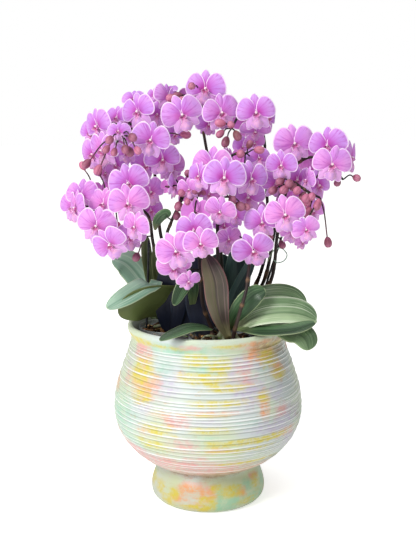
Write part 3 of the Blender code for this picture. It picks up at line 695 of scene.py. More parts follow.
# Each leaf: its path, its width, the way it faces, its fold, kind, curl and where it is widest.
# The first ones, as many as "own" says, stand for the frame's own leaves.
leaves = {
    "right_broad": ([(33, -42, 0), (53, -54, 16), (77, -60, 23), (102, -58, 22), (126, -52, 13)],
        41, (0.05, -0.72, 0.69), 30, "striped", 0.1, 0.45),
    "right_back": ([(45, 27, 2), (56, 4, 25), (79, -4, 33), (101, -6, 31), (118, -4, 18)],
        29, (0.1, -0.8, 0.6), 22, "glossy", 0.15, 0.45),
    "right_low": ([(30, -56, 4), (55, -72, 5), (77, -84, 8), (100, -88, 12), (121, -84, 18)],
        19, (0, -0.5, 0.85), 14, "deep", 0.12, 0.45),
    "right_drooping": ([(36, 20, -6), (66, -20, 8), (95, -50, 0), (110, -64, -5), (116, -70, -18)],
        40, (0.35, -0.7, 0.6), 20, "glossy", 0.25, 0.45),
    "centre_round": ([(22, -50, -1), (30, -60, 19), (40, -66, 34), (52, -68, 46), (65, -68, 52)],
        27, (0.35, -0.9, 0.35), 24, "deep", 0.15, 0.6),
    "centre_tall": ([(24, -54, -8), (15, -64, 16), (10, -70, 41), (7, -71, 65), (-3, -62, 91)],
        34, (0.1, -1, 0.1), 34, "bronze", 0.1, 0.72),
    "centre_back": ([(25, 20, -16), (28, 14, 11), (34, 6, 43), (36, 2, 72), (33, 0, 90)],
        34, (0.2, -1, 0.2), 14, "dark", 0.15, 0.45),
    "left_sage": ([(-60, 2, 2), (-61, -10, 38), (-71, -33, 51), (-94, -49, 41), (-117, -55, 28)],
        28, (-0.35, -0.8, 0.5), 12, "sage", 0.2, 0.55),
    "left_olive": ([(-19, 4, -2), (-36, -4, 22), (-57, -22, 29), (-79, -42, 29), (-104, -52, 22)],
        46, (-0.15, 0.9, 0.3), 8, "olive", 0.12, 0.35),
    "left_back": ([(-66, 14, 0), (-75, 30, 32), (-87, 34, 52), (-101, 32, 67), (-118, 28, 73)],
        36, (-0.15, -0.95, 0.3), 14, "sage", 0.15, 0.45),
    "left_upright": ([(-63, 20, 7), (-67, 20, 34), (-72, 19, 60), (-75, 17, 85), (-74, 14, 102)],
        14, (0.1, -1, 0.1), 16, "olive", 0.1, 0.45),
    "front_narrow": ([(3, -55, 2), (-1, -66, 7), (-20, -86, 12), (-38, -97, 8), (-54, -104, 2)],
        15, (0, -0.55, 0.83), 16, "deep", 0.2, 0.45),
    "left_middle": ([(-19, -20, 18), (-18, -28, 44), (-23, -34, 57), (-31, -38, 47), (-40, -40, 28)],
        18, (0.2, -1, 0.3), 14, "deep", 0.1, 0.45),
    "left_stem_side": ([(-55, 10, 1), (-60, 8, 34), (-63, 6, 59), (-64, 4, 79), (-62, 2, 94)],
        9, (0.1, -1, 0.1), 20, "olive", 0.1, 0.45),
    # These three near-black blades are painted shade filling the dark gaps between the plants.
    "shade_fill_left": ([(-46, -12, -18), (-45, -14, 7), (-44, -16, 32), (-42, -16, 56), (-35, -16, 75)],
        38, (0, -1, 0.1), 10, "shadowFill", 0.05, 0.45),
    "shade_fill_middle": ([(-25, -10, -21), (-25, -12, 7), (-24, -14, 31), (-21, -14, 58), (-17, -14, 82)],
        42, (0, -1, 0.1), 10, "shadowFill", 0.05, 0.45),
    "shade_fill_right": ([(-6, -24, -18), (-6, -22, 9), (-6, -20, 33), (-6, -18, 59), (-9, -16, 90)],
        42, (0, -1, 0.1), 10, "shadowFill", 0.05, 0.45),
    # The two back leaves are kept dark, partly as painted shade behind the plants.
    "back_left": ([(2, 34, -13), (-10, 34, 19), (-20, 34, 38), (-27, 32, 57), (-32, 30, 75)],
        44, (0.1, -1, 0.3), 10, "dark", 0.1, 0.45),
    "back_right": ([(35, 40, -14), (25, 38, 18), (20, 38, 37), (15, 36, 56), (11, 34, 77)],
        46, (0.1, -1, 0.2), 10, "dark", 0.1, 0.45),
    "centre_grey": ([(17, -20, -6), (24, -22, 16), (33, -20, 40), (45, -16, 63), (54, -14, 80)],
        16, (0.2, -1, 0.2), 20, "dark", 0.1, 0.45),
    "arch_right": ([(40, 44, 2), (56, 60, 10), (70, 78, 14), (84, 92, 10), (94, 100, 0)],
        36, (0.1, 0.3, 0.9), 16, "deep", 0.2, 0.45),
    "arch_middle": ([(20, 46, 2), (14, 64, 20), (6, 82, 30), (0, 98, 26), (-4, 108, 14)],
        38, (0, 0.3, 0.9), 16, "striped", 0.2, 0.45),
    "arch_left": ([(-52, 20, 2), (-60, 44, 18), (-66, 66, 26), (-74, 84, 22), (-82, 94, 10)],
        34, (-0.1, 0.3, 0.9), 16, "sage", 0.2, 0.45),
    "arch_far": ([(40, 30, 2), (62, 34, 16), (84, 36, 20), (102, 34, 14), (114, 30, 2)],
        30, (0.2, 0.3, 0.9), 16, "glossy", 0.2, 0.45),
    "spike_dark": ([(-60, -56, 119), (-58, -58, 128), (-53, -60, 135), (-47, -60, 138), (-44, -60, 134)],
        12, (0, -1, 0.2), 10, "deep", 0.1, 0.45),
}


def leafLook(kind, half, dark, light, stripe, edge, under, base):
    look = Look(kind + "Leaf", {"Specular IOR Level": 0.4, "Coat Weight": 0.12, "Coat Roughness": 0.3})
    side, along, tint = look.mark("side"), look.mark("along"), look.mark("tint")
    lines = look.noise(look.spot(side * 11.0 + tint * 40.0, along * 0.7, tint * 9.0), 1.0, 4.0, 0.7)
    fine = look.noise(look.spot(side * 46.0, along * 1.6, tint * 9.0), 1.0, 2.0)
    cloud = look.noise(look.place(), 26.0, 3.0)
    # Painted light: the half that faces the light is painted lighter.
    sunny = (0.5 - side * half * 2).step(0.1, 0.9)  # one half of a folded leaf catches more light
    colour = look.coats(
        dark,
        (cloud.step(0.3, 0.7) * 0.3 + sunny * 0.7, light),
        (lines.step(0.48, 0.70) * 0.7 + fine.step(0.5, 0.8) * 0.25, stripe),
        # Painted shade along the fold of the leaf.
        (look.mark("crease") * 0.75, dark),
        # The pale edge is partly the leaf's own margin and partly painted highlight.
        (look.mark("rim").step(0.35, 1.0) * 0.65, edge),
        ((1.0 - along).step(0.72, 1.0) * 0.8, base),
        (look.mark("under"), under),
    )
    return look.finish(
        Base_Color=colour, Roughness=0.36 + cloud * 0.18, Bump=(lines + fine * 0.3, 0.25, 0.0006)
    )


def leafHalfWidth(along, peak):
    base = 0.10 + 0.40 * np.sin(np.minimum(along / peak, 1) * math.pi / 2)
    tip = np.maximum(0, (along - 0.55) / 0.45)
    return base * np.sqrt(np.maximum(1 - tip**2.6, 0.0004))


def buildLeaf(name, spec, own, looks, shape, draw):
    points, width, faced, fold, kind, curl, peak = spec
    rows, cols = shape["rows"], shape["cols"]
    path = smoothPath([layout(point) for point in points], 24)
    share = np.linspace(0, 1, rows)
    share = 1 - (1 - share) ** 1.5
    index = share * (len(path) - 1)
    low = np.minimum(index.astype(int), len(path) - 2)
    part = (index - low)[:, None]
    middle = path[low] * (1 - part) + path[low + 1] * part
    ahead = unit(path[low + 1] - path[low])
    across = unit(np.cross(ahead, unit(np.array(faced, float))))
    up = np.cross(across, ahead)
    side = np.sin(np.linspace(-1, 1, cols) * math.pi / 2)
    side = 0.5 * side + 0.5 * np.linspace(-1, 1, cols)
    half = (leafHalfWidth(share, peak) * width * mm)[:, None]
    fold = math.radians(fold)
    phase = draw.uniform(0, fullTurn, 3)
    opened = np.sqrt(side**2 + 0.004) - 0.063
    lift = opened * math.sin(fold) - curl * side**4 * np.sin(share * math.pi * 0.9)[:, None] ** 0.5
    ripple = np.sin(share[:, None] * 11 + phase[0] + (side > 0) * phase[1])
    lift = (lift + shape["ripple"] * ripple * np.abs(side) ** 3) * half
    reach = side * math.cos(fold) * half
    sheet = middle[:, None] + across[:, None] * reach[..., None] + up[:, None] * lift[..., None]
    rise, run = np.gradient(sheet, axis=0), np.gradient(sheet, axis=1)
    out = unit(np.cross(run, rise))
    thick = shape["edge"] + (shape["thick"] - shape["edge"]) * (1 - np.abs(side) ** 1.5)
    thick = thick[None] * np.minimum(1, (1.02 - share[:, None]) * 6)
    offset = out * (thick * 0.5)[..., None]
    flipped = (out * up[:, None]).sum() < 0
    if flipped:
        offset = -offset
    both = np.vstack([(sheet + offset).reshape(-1, 3), (sheet - offset).reshape(-1, 3)])
    # Marks repeat for the two sides of the sheet.
    spread, along = np.tile(side, 2 * rows), np.tile(np.repeat(share, cols), 2)
    edge = np.maximum((np.abs(spread) - 0.8) / 0.2, (along - 0.965) / 0.035).clip(0, 1)
    heap = Heap()
    heap.add(
        both, sheetFaces(rows, cols, flipped), side=spread, along=along, rim=edge,
        crease=np.exp(-((np.abs(spread) / 0.06) ** 2)), tint=draw.uniform(0, 1),
        under=np.repeat([0, 1], rows * cols),
    )
    heap.piece("blade_" + name, [looks[kind]], "leaf_green", ["leaf_" + name] if own else ())


leafLooks = {kind: leafLook(kind, *shades) for kind, shades in leafKinds.items()}
for i, (name, spec) in enumerate(leaves.items()):
    buildLeaf(name, spec, i < leafShape["own"], leafLooks, leafShape, rng)
print(len(leaves), "leaves grown")

# A thin pale tendril curls out from the stems on the right.
tendril = {
    "path": [(72, 6, 72), (78, 0, 86), (87, -4, 90), (94, -6, 83), (91, -4, 75), (83, -2, 72), (79, 0, 75)],
    "radius": 0.00065,
}
heap = Heap()
path = smoothPath([layout(point) for point in tendril["path"]], 8)
tube(heap, path, tendril["radius"], 8, side=0.3, tint=0.4)
heap.piece("tendril", [leafLooks["sage"]], "leaf_green")


# Flower spikes: where the stem leaves the bark beside its crown (angle, mm), its path, its
# buds and its flowers (x, y, rise, turn right, look up, lean clockwise, share of full width).
# The flowers after the count in "held" hang behind and between the others.
spikes = {
    "top": {
        "plant": 1, "foot": (200, 14), "held": 3,
        "path": [(17, 14, 60), (13, 6, 110), (9, 4, 160), (-2, 4, 208), (-8, 6, 250), (-4, 10, 268),
                 (6, 8, 262)],
        "buds": [(-18, -2, 275), (-35, 2, 268), (-50, 4, 262), (-18, -40, 279), (-42, -20, 266),
                 (-29, -20, 264)],
        "flowers": [
            (-29, -35, 247, 5, -5, -22, 1), (-3, -15, 276, -8, 5, 0, 0.97),
            (16, -25, 249, 15, 0, -8, 0.93), (-64, 10, 269, -25, 5, 0, 0.4),
            (-45, 0, 267, 45, 15, 15, 0.76), (-48, 14, 278, -20, 60, 0, 0.5), (1, 0, 235, 10, -10, 0, 0.62),
            (4, 30, 252, 165, 5, 0, 0.85), (-20, 30, 262, 200, 0, 8, 0.85),
        ],
    },
    "top_right": {
        "plant": 1, "foot": (60, 14), "held": 1,
        "path": [(62, 30, 46), (72, 10, 102), (70, 12, 160), (66, 10, 220), (54, 8, 250), (38, -4, 248),
                 (27, -30, 232)],
        "buds": [(14, -32, 238), (26, -36, 236), (14, -34, 226), (20, -36, 217), (33, -34, 224)],
        "flowers": [
            (55, -25, 249, 0, 0, -6, 0.91), (70, -5, 243, 45, 0, 0, 0.81), (55, -10, 227, 0, -50, 0, 0.76),
            (55, 0, 213, 15, -20, 0, 0.56), (41, 6, 209, -10, -10, 0, 0.55), (50, 32, 236, 180, 0, 0, 0.85),
        ],
    },
    "upper_left": {
        "plant": 0, "foot": (60, 16), "held": 4,
        "path": [(-46, 20, 50), (-58, 12, 110), (-62, 4, 165), (-66, 4, 205), (-78, 4, 232),
                 (-94, -8, 235), (-100, -26, 223)],
        "buds": [(-115, -40, 209), (-106, -42, 206), (-88, -50, 207), (-78, -64, 209), (-92, -60, 210),
                 (-110, -50, 220), (-84, -58, 223), (-26, -10, 224), (-139, -30, 192), (-126, -30, 185)],
        "flowers": [
            (-130, -5, 233, -40, -5, -10, 0.95), (-65, -45, 219, -5, 0, 12, 0.93),
            (-81, -20, 250, -32, 5, -15, 0.95), (-123, -20, 206, -35, -10, 0, 0.95),
            (-102, -35, 229, -10, 25, 0, 0.57), (-93, -30, 203, 0, -30, 0, 0.65),
            (-52, -30, 196, 10, -10, 0, 0.85), (-42, -10, 186, 30, -10, 0, 0.76),
            (-135, -10, 201, -35, -5, 0, 0.85), (-72, -12, 188, 15, -10, 20, 0.8),
            (-59, -4, 247, 20, 5, 10, 0.7), (-108, -8, 188, -20, -15, 0, 0.68),
            (-140, 12, 225, -30, 0, 0, 0.72), (-108, 6, 243, -20, 15, 0, 0.66),
            (-87, 6, 265, 0, 30, 0, 0.6), (-39, 8, 223, 30, 0, 0, 0.6), (-121, -4, 178, -10, -30, 0, 0.6),
            (-96, 24, 226, 190, 0, 5, 0.9), (-70, 26, 222, 170, 0, -5, 0.85),
        ],
    },
    "right": {
        "plant": 1, "foot": (20, 15), "held": 5,
        "path": [(69, 24, 46), (78, 6, 100), (86, 2, 150), (94, -6, 176), (106, -10, 192), (124, -10, 198),
                 (146, -10, 186), (158, -10, 172)],
        "buds": [(170, -34, 176), (148, -36, 171), (90, -30, 178)],
        "flowers": [
            (100, -20, 214, 3, 0, -8, 0.98), (136, -31, 212, -22, 0, -8, 0.95),
            (140, -50, 192, 0, 0, 8, 0.92), (166, -23, 198, 65, -5, 0, 0.85),
            (83, -40, 190, -15, 0, 0, 0.75), (112, -30, 173, -70, 0, 10, 0.65),
            (104, -16, 172, -10, -5, 0, 0.72), (81, 4, 166, 20, 0, 0, 0.8), (130, -12, 165, 35, 0, 0, 0.85),
            (125, -8, 134, 20, -10, 0, 0.62), (112, 22, 196, 175, 0, 0, 0.9),
            (136, 14, 186, 150, 0, 5, 0.8),
        ],
    },
    "centre": {
        "plant": 2, "foot": (95, 14), "held": 3,
        "path": [(12, -30, 50), (11, -28, 110), (12, -30, 155), (16, -34, 185), (28, -36, 202),
                 (44, -36, 204)],
        "buds": [(37, -40, 204), (47, -38, 214), (58, -38, 208), (27, -62, 153), (36, -58, 146),
                 (27, -66, 156), (36, -64, 147), (43, -62, 146)],
        "flowers": [
            (18, -75, 179, 0, 0, 5, 0.98), (4, -54, 191, -15, 5, 4, 0.95), (49, -55, 176, 25, 0, 0, 0.9),
            (26, -30, 200, 70, 10, 10, 0.55), (-11, -55, 179, -40, 0, 0, 0.73),
            (59, -25, 198, 20, 20, 0, 0.65), (13, -75, 141, -15, -20, 10, 0.77),
            (19, -24, 119, -15, 0, 0, 0.6), (46, -44, 154, 5, -15, 0, 0.82),
            (1, -36, 157, -15, -10, 0, 0.62), (58, -20, 133, 30, 0, 0, 0.7),
            (32, -30, 132, -10, 0, 10, 0.6), (34, 10, 186, 170, -5, 0, 0.85),
        ],
    },
    "right_low": {
        "plant": 1, "foot": (345, 15), "held": 3,
        "path": [(76, 14, 46), (82, -6, 104), (88, -22, 150), (96, -30, 170), (106, -36, 166),
                 (117, -40, 159), (128, -42, 154)],
        "buds": [(108, -44, 156), (113, -46, 150), (124, -48, 146), (97, -44, 167), (137, -50, 104),
                 (87, -20, 97), (74, -46, 163), (82, -46, 173), (92, -48, 171), (101, -48, 163),
                 (111, -48, 154), (118, -46, 156), (125, -46, 148), (114, -48, 138), (86, -50, 164)],
        "flowers": [
            (61, -65, 128, -5, -5, -5, 0.85), (86, -75, 138, 0, 0, -12, 0.93),
            (109, -80, 122, 0, 0, -18, 0.66), (111, -30, 100, 30, -10, 0, 0.42),
            (98, -40, 114, 25, -15, 0, 0.7), (114, -20, 141, 10, 0, 0, 0.6), (100, 4, 144, 170, 0, 0, 0.8),
        ],
    },
    "front_right": {
        "plant": 2, "foot": (295, 31), "held": 1,
        "path": [(35, -80, 26), (43, -77, 54), (48, -56, 86), (54, -48, 104), (62, -47, 116)],
        "buds": [(70, -40, 110)],
        "flowers": [
            (51, -75, 97, 5, -25, -25, 1), (24, -45, 106, 15, -20, 0, 0.65),
        ],
    },
    "front_low": {
        "plant": 2, "foot": (140, 15), "held": 3,
        "path": [(-6, -44, 30), (-9, -58, 70), (-11, -60, 100), (-16, -62, 122), (-28, -64, 124),
                 (-40, -66, 108)],
        "buds": [(-8, -66, 130)],
        "flowers": [
            (-8, -100, 109, 0, -5, -12, 0.78), (-35, -95, 100, -5, -5, -25, 0.95),
            (-38, -80, 78, -15, -25, -20, 0.85), (-21, -90, 65, 20, -30, 0, 0.58),
            (-16, -80, 121, -10, 0, -10, 0.87),
        ],
    },
    "left_low": {
        "plant": 0, "foot": (95, 15), "held": 5,
        "path": [(-56, 10, 44), (-66, 4, 96), (-70, -8, 128), (-86, -24, 142), (-108, -32, 144),
                 (-128, -30, 136)],
        "buds": [(-82, -50, 87), (-104, -34, 120), (-146, -10, 188), (-128, -12, 182)],
        "flowers": [
            (-90, -55, 171, -8, 0, -17, 1), (-89, -70, 150, -5, 0, -14, 0.98),
            (-126, -65, 124, -12, -5, 6, 0.95), (-110, -74, 104, -15, -15, -35, 0.9),
            (-153, -40, 142, -60, -5, 0, 0.85), (-65, -40, 160, 30, 0, -8, 0.79),
            (-82, -80, 125, -30, -5, 12, 0.72), (-146, -30, 156, -15, 10, 0, 0.85),
            (-120, -45, 147, -20, 10, 0, 0.84), (-88, -50, 109, 15, -10, 0, 0.78),
            (-159, -20, 140, -30, 0, 0, 0.8), (-129, -40, 110, -20, -20, 0, 0.7),
            (-98, 10, 150, 190, 0, 0, 0.85), (-124, 4, 152, 205, 0, 0, 0.8),
        ],
    },
    "left_centre": {
        "plant": 0, "foot": (20, 15), "held": 0,
        "path": [(-40, 10, 50), (-50, 10, 96), (-44, 4, 120), (-32, -6, 146), (-22, -14, 164),
                 (-8, -16, 162)],
        "buds": [(-33, -24, 142), (-28, -22, 158), (-19, -28, 150), (-23, -26, 180), (-12, -30, 160),
                 (-5, -30, 160), (-36, -30, 132), (-30, -40, 160), (-23, -40, 150), (-34, -36, 144),
                 (-14, -40, 163)],
        "flowers": [
            (-22, -45, 163, -20, -20, 0, 0.59), (-38, -35, 166, 75, 0, 30, 0.65),
            (-45, -30, 166, 180, 0, 0, 0.4), (-13, -45, 137, 170, -10, 0, 0.74),
            (-67, -6, 135, 20, -5, 0, 0.62), (23, -30, 100, 25, -15, 0, 0.74),
            (-43, 10, 179, 20, 0, 0, 0.52), (-24, 22, 158, 185, 0, 0, 0.8),
        ],
    },
}
stemShape = {
    "radius": 0.0025, "tip": 0.0013, "upright": 0.012, "nodes": (0.09, 0.24, 0.40, 0.55, 0.68, 0.80, 0.9),
    "nodeWidth": 0.008, "nodeSwell": 0.35, "bud": (0.0047, 0.0066), "budStalk": (0.0009, 0.0008),
    "budArch": 0.16, "flowerStalk": (0.0009, 0.0011), "flowerArch": 0.08,
}
flowerShape = {
    "width": 0.0468, "thick": 0.00065, "inset": 0.0025, "behind": 0.011,
    "grids": {"sepals": (6, 22), "petals": (8, 34), "lip": (6, 24), "sideLobe": (4, 16)},
    # angle from the top, out, half length, half width, flare, lift, cup, recurve, ruffle
    "sepals": [
        (0, 0.270, 0.240, 0.135, 0.05, -0.030, 0.03, 0.06, 0.003),
        (145, 0.250, 0.245, 0.155, -0.12, -0.034, 0.03, 0.05, 0.008),
        (-145, 0.250, 0.245, 0.155, -0.12, -0.034, 0.03, 0.05, 0.008),
    ],
    "petals": [
        (67, 0.275, 0.258, 0.305, 0.30, 0.010, 0.030, 0.080, 0.017),
        (-67, 0.275, 0.258, 0.305, 0.30, 0.018, 0.030, 0.080, 0.017),
    ],
}


def petalLook():
    # Petals glow a little with their own colour: painted light that lifts their shaded sides.
    look = Look("orchidPetal", {
        "Specular IOR Level": 0.25, "Sheen Weight": 0.15, "Emission Strength": 0.16,
    })
    fan, reach, tint = look.mark("fan"), look.mark("reach"), look.mark("tint")
    veins = look.noise(look.spot(fan * 7.5, reach * 2.6, tint * 37.0), 1.0, 3.0, 0.65)
    fine = look.noise(look.spot(fan * 24.0, reach * 4.0, tint * 11.0), 1.0, 2.0)
    cloud = look.noise(look.place(), 60.0, 2.0)
    colour = look.coats(
        (190, 102, 198),
        (reach.step(0.16, 0.46), (206, 154, 226)),
        ((0.24 - reach).step(0.0, 0.2) * 0.9, (180, 40, 148)),
        (tint * 0.65, (232, 152, 214)),
        (cloud.step(0.35, 0.7) * 0.45, (176, 122, 214)),
        (veins.step(0.46, 0.70) * 0.6 + fine.step(0.5, 0.75) * 0.25, (172, 72, 178)),
        (look.mark("pale") * 0.5, (228, 182, 228)),
        ((look.mark("rim") + (veins - 0.5) * 0.12).step(0.87, 1.0) * 0.9, (248, 230, 250)),
        # The backs are painted darker and more magenta than their own colour, partly painted shade for
        # backs that face away from the light.
        (look.mark("under") * 0.6, (216, 118, 204)),
    )
    return look.finish(
        Base_Color=colour, Emission_Color=colour, Roughness=0.55 + cloud * 0.15,
        Bump=(veins + fine * 0.5, 0.4, 0.0005),
    )


def lipLook():
    # The lip glows a little with its own colour: painted light that lifts its shaded sides.
    look = Look("orchidLip", {"Specular IOR Level": 0.3, "Emission Strength": 0.08})
    throat, fan = look.mark("throat"), look.mark("fan")
    streaks = look.noise(look.spot(fan * 9.0, throat * 2.0, 0.0), 1.0, 3.0, 0.7)
    cloud = look.noise(look.place(), 160.0, 2.0)
    colour = look.coats(
        (204, 152, 216),
        (cloud.step(0.35, 0.65), (226, 168, 212)),
        (throat.step(0.35, 1.0) * 0.8, (204, 74, 146)),
        (streaks.step(0.48, 0.62) * throat.step(0.0, 0.5), (170, 36, 108)),
        (look.mark("rim").step(0.85, 1.0) * 0.6, (248, 236, 250)),
        (look.mark("cap"), (252, 236, 238)),
    )
    return look.finish(
        Base_Color=colour, Emission_Color=colour, Roughness=0.45 + cloud * 0.15,
        Bump=(streaks, 0.25, 0.0003),
    )


def stemLook():
    look = Look("darkStem", {"Specular IOR Level": 0.4})
    along, tint = look.mark("along"), look.mark("tint")
    speckle = look.noise(look.place(), 300.0, 3.0, 0.6)
    cloud = look.noise(look.place(), 22.0, 2.0)
    colour = look.coats(
        (34, 26, 30),
        (cloud.step(0.35, 0.65), (56, 40, 36)),
        ((cloud + tint).step(1.2, 1.5) * 0.5, (76, 78, 50)),
        (speckle.step(0.62, 0.78) * 0.4, (112, 86, 70)),
        (look.mark("node") * 0.75, (136, 104, 74)),
        (along.step(0.55, 1.0) * look.mark("twig") * 0.55, (150, 84, 110)),
    )
    return look.finish(Base_Color=colour, Roughness=0.4 + speckle * 0.25, Bump=(speckle, 0.3, 0.0003))


def budLook():
    # Buds glow faintly with their own colour: painted light that lifts their shaded sides.
    look = Look("orchidBud", {"Specular IOR Level": 0.5, "Emission Strength": 0.05})
    tint, along, seam = look.mark("tint"), look.mark("along"), look.mark("seam")
    cloud = look.noise(look.place(), 130.0, 3.0)
    colour = look.coats(
        (116, 54, 78),
        (tint.step(0.15, 0.85), (198, 112, 144)),
        ((cloud - tint * 0.2).step(0.4, 0.7) * 0.4, (150, 106, 84)),
        (along.step(0.45, 1.0) * 0.4, (214, 140, 172)),
        (seam.step(0.5, 1.0) * 0.45, (104, 46, 62)),
    )
    return look.finish(
        Base_Color=colour, Emission_Color=colour, Roughness=0.38 + cloud * 0.2,
        Bump=(cloud - seam * 0.6, 0.3, 0.0005),
    )


@cache
def disc(rings, sectors):  # a flat closed disc of two sides: share out, angle, side, faces
    turn = np.arange(sectors) / sectors * 2 * math.pi
    shares = np.sin(np.arange(1, rings + 1) / rings * math.pi / 2) ** 0.9
    out, angle, side = [], [], []
    for face, count in ((1, rings), (-1, rings - 1)):  # the two sides share the outer ring
        out += [0.0]
        angle += [0.0]
        side += [face]
        for i in range(count):
            out += [shares[i]] * sectors
            angle += list(turn)
            side += [face if i < rings - 1 else 0] * sectors
    back = 1 + rings * sectors
    faces = []
    for j in range(sectors):
        k = (j + 1) % sectors
        faces += [(0, 1 + k, 1 + j), (back, back + 1 + j, back + 1 + k)]
        for i in range(rings - 1):
            a, b = 1 + i * sectors, 1 + (i + 1) * sectors
            faces.append((a + j, a + k, b + k, b + j))
            a = back + 1 + i * sectors
            b = back + 1 + (i + 1) * sectors if i < rings - 2 else 1 + (rings - 1) * sectors
            faces.append((a + k, a + j, b + j, b + k))
    return np.array(out), np.array(angle), np.array(side, float), faces


def addTepal(heap, spec, grid, thick, narrow, pale, tint, draw, place):
    turn, out, halfLength, halfWidth, flare, lift, cup, recurve, ruffle = spec
    r, a, side, faces = disc(*grid)
    p, q = r * np.sin(a), r * np.cos(a)
    phase = draw.uniform(0, fullTurn, 2)
    turn = math.radians(turn + draw.normal(0, 3))
    size = draw.normal(1, 0.03)
    across = halfWidth * size * p * (1 + flare * q) * (1 - 0.35 * narrow * np.maximum(q, 0) ** 2)
    along = out + halfLength * size * q
    reach = np.hypot(across, along)
    z = lift * np.minimum(1, 2.5 * reach) + cup * draw.uniform(0.5, 1.6) * (1 - r**2)
    z -= recurve * draw.uniform(0.2, 1.5) * (reach / 0.5) ** 2 - 0.02 * np.minimum(1, 5 * reach)
    z -= 0.35 * (0.16 - np.abs(across)).clip(0, 0.05) * narrow * r
    z += ruffle * r**4 * (np.sin(3 * a + phase[0]) + 0.6 * np.sin(5 * a + phase[1]))
    z += side * thick * (1 - r**4) / 2
    x = across * math.cos(turn) + along * math.sin(turn)
    y = -across * math.sin(turn) + along * math.cos(turn)
    heap.add(
        place(np.stack([x, y, z], -1)), faces, 0, reach=reach, rim=r, tint=tint,
        fan=np.arctan2(across, along + 0.05) + 5 * turn, under=side < 0, pale=pale,
    )


def addLip(heap, grids, thick, draw, place):
    r, a, side, faces = disc(*grids["lip"])
    p, q = r * np.sin(a), r * np.cos(a)
    # The middle lobe hangs from the centre: a narrow waist, then an anchor with a frilled end.
    down = 0.240 + 0.215 * q
    wide = 0.065 + 0.125 * np.exp(-(((q - 0.25) / 0.42) ** 2)) + 0.02 * (q < -0.5)
    across = wide * p / np.sqrt(np.maximum(1 - q**2, 0.02)) * np.sqrt(np.maximum(1 - q**4, 0))
    forward = 0.02 + 0.13 * np.sin((q + 1) * 1.25) - 0.5 * across**2 / 0.1
    frill = 0.028 * r**4 * np.sin(7 * a + draw.uniform(0, 6))
    z = forward + frill + side * thick * (1 - r**4)
    notch = 0.06 * np.exp(-((across / 0.03) ** 2)) * (q > 0.6) * (q - 0.6) / 0.4
    heap.add(
        place(np.stack([across, -(down - notch), z], -1)), faces, 1, rim=r, fan=p * 2,
        throat=(1 - (q + 1) / 1.1).clip(0, 1),
    )
    r, a, side, faces = disc(*grids["sideLobe"])
    p, q = r * np.sin(a), r * np.cos(a)
    for hand in (-1, 1):  # side lobes stand up round the column
        x = hand * (0.070 + 0.035 * q - 0.05 * p**2) + hand * side * thick / 2 * (1 - r**4)
        y = -0.035 + 0.055 * p
        z = 0.075 + 0.070 * q
        points = np.stack([x, y - 0.01 * q, z], -1)
        heap.add(place(points), faces if hand < 0 else [face[::-1] for face in faces], 1,
                 rim=r, fan=p * 2, throat=(0.95 - 0.5 * (q + 1) / 2).clip(0, 1))
    ball, faces = lump(10, 7)  # the column and its cap
    x, y, z = ball.T
    points = np.stack([x * 0.036, y * 0.034 + 0.012 + 0.012 * z, 0.055 + 0.062 * z], -1)
    heap.add(place(points), faces, 1, throat=(0.4 - z * 0.5).clip(0, 1), cap=((z - 0.1) * 2).clip(0, 1))


def buildFlower(name, spot, face, share, own, looks, shape, draw):
    width = shape["width"] * share * draw.uniform(0.98, 1.03)

    def place(points):
        return points * width @ face + spot - face[2] * shape["inset"]

    # Flowers lower down are pinker.
    tint = (draw.uniform(0, 1.1) - 0.6 * (spot[2] - rim - 0.14) / 0.12).clip(0, 1)
    heap, thick = Heap(), shape["thick"] / width
    for part, narrow in (("sepals", 1.0), ("petals", 0.0)):
        for spec in shape[part]:
            pale = narrow * (spec[0] != 0)  # the two lower sepals
            addTepal(heap, spec, shape["grids"][part], thick, narrow, pale, tint, draw, place)
    addLip(heap, shape["grids"], thick, draw, place)
    heap.piece("bloom_" + name, looks, "petal_purple", ["flower_" + name] if own else ())


def facing(turn, tilt, lean):  # three rows: the flower's right, top and front
    turn, tilt, lean = (math.radians(angle) for angle in (turn, tilt, lean))
    front = np.array([math.sin(turn) * math.cos(tilt), -math.cos(turn) * math.cos(tilt), math.sin(tilt)])
    right = unit(np.cross((0, 0, 1), front))
    up = np.cross(front, right)
    cosL, sinL = math.cos(lean), math.sin(lean)
    return np.stack([right * cosL - up * sinL, up * cosL + right * sinL, front])


def addBud(heap, spot, towards, size, draw):
    steps, rows = 18, 12
    angles = np.linspace(0, math.pi, rows + 1)
    wide, long = size
    scale = draw.uniform(0.82, 1.08)
    outline = [(math.sin(b) * (1 - 0.16 * math.cos(b)), -math.cos(b)) for b in angles[1:-1]]
    points, faces = lathe(outline, steps)
    # Three sepals close over the bud, with a seam where each meets the next.
    around = np.arctan2(points[:, 1], points[:, 0])
    seam = np.maximum(0, np.cos(around * 3)) ** 10
    points[:, :2] *= (1 - 0.09 * seam)[:, None]
    along = (points[:, 2] + 1) / 2
    points = points * (wide * scale, wide * scale, long * scale)
    right = unit(np.cross(towards, (0.31, 0.2, 0.93)))
    axes = np.stack([right, np.cross(towards, right), towards])
    heap.add(points @ axes + spot, faces, tint=draw.uniform(0, 1), seam=seam, along=along)


def besideCrown(plant, angle, distance):  # a spot on the bark, in degrees and mm from the plant
    return potCentres[plant] + swung(distance * mm, math.radians(angle), barkTop + 0.0003)


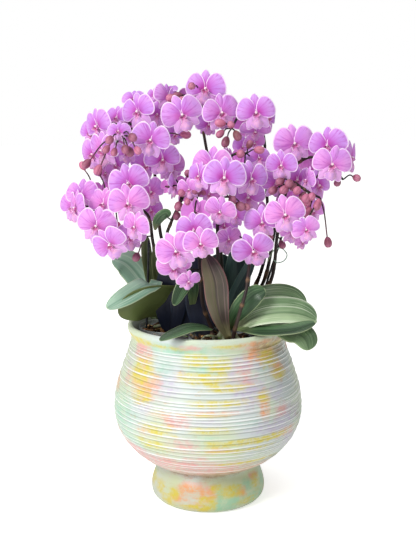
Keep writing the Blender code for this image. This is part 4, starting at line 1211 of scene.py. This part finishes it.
def buildSpike(name, spec, looks, stemSpec, flowerSpec, draw):
    foot = besideCrown(spec["plant"], *spec["foot"])
    upright = foot + (0, 0, stemSpec["upright"])
    path = smoothPath([foot, upright, *(layout(point) for point in spec["path"])], 10)
    share = np.linspace(0, 1, len(path))
    radii = stemSpec["radius"] + (stemSpec["tip"] - stemSpec["radius"]) * share
    node = sum(np.exp(-(((share - k) / stemSpec["nodeWidth"]) ** 2)) for k in stemSpec["nodes"])
    stem, buds = Heap(), Heap()
    radii = radii * (1 + stemSpec["nodeSwell"] * node)
    tube(stem, path, radii, 10, node=node.clip(0, 1), tint=draw.uniform(0, 1))
    budding = path[len(path) // 3:]
    tint = draw.uniform(0, 1)

    def nearest(spot):
        return budding[np.argmin(np.linalg.norm(budding - spot, axis=1))]

    def addStalk(points, perSpan, ends):
        stalk = smoothPath(points, perSpan)
        tube(stem, stalk, np.linspace(*ends, len(stalk)), 7, twig=1, tint=tint)

    for point in spec["buds"]:
        spot = layout(point)
        start = nearest(spot)
        gap = spot - start
        middle = start + gap * 0.5 + (0, 0, stemSpec["budArch"] * np.linalg.norm(gap))
        addStalk([start, middle, spot - unit(gap) * 0.004], 6, stemSpec["budStalk"])
        addBud(buds, spot, unit(spot - middle), stemSpec["bud"], draw)
    for i, (*point, turn, tilt, lean, size) in enumerate(spec["flowers"]):
        spot, face = layout(point), facing(turn, tilt, lean)
        own = i < spec["held"]
        buildFlower(f"{name}_{i + 1}", spot, face, size, own, looks[:2], flowerSpec, draw)
        front = face[2]
        back = spot - front * flowerSpec["behind"]
        start = nearest(back)
        rise = stemSpec["flowerArch"] * np.linalg.norm(back - start)
        bend = start * 0.35 + back * 0.65 - front * 0.004 + (0, 0, rise)
        addStalk([start, bend, back, spot - front * 0.003], 7, stemSpec["flowerStalk"])
    stem.piece("stem_" + name, [looks[2]], "stem_brown", ["spike_" + name])
    buds.piece("buds_" + name, [looks[3]], "stem_brown", ["spike_" + name])


flowerLooks = [petalLook(), lipLook(), stemLook(), budLook()]
for name, spec in spikes.items():
    buildSpike(name, spec, flowerLooks, stemShape, flowerShape, rng)
print(sum(len(spec["flowers"]) for spec in spikes.values()), "flowers open")


# Stakes: the plant, the foot beside its crown (angle, mm) and the top.
stakes = {
    "left": (0, (178, 30), (-71, 6, 98)),
    "right": (1, (5, 27), (93, 20, 112)),
}
stakeRadius = 0.0014


def stakeLook():
    look = Look("blackStake", {"Specular IOR Level": 0.45})
    grain = look.noise(look.place(), 200.0, 3.0)
    colour = look.coats((20, 24, 28), (grain.step(0.4, 0.7), (44, 50, 56)))
    return look.finish(Base_Color=colour, Roughness=0.35 + grain * 0.25, Bump=(grain, 0.2, 0.0003))


stakeSkin = stakeLook()
for name, (plant, foot, top) in stakes.items():
    heap = Heap()
    tube(heap, np.linspace(besideCrown(plant, *foot), layout(top), 12), stakeRadius, 12)
    heap.piece("rod_" + name, [stakeSkin], "stake_black", ["stake_" + name])
print("stakes set")

bpy.context.view_layer.update()
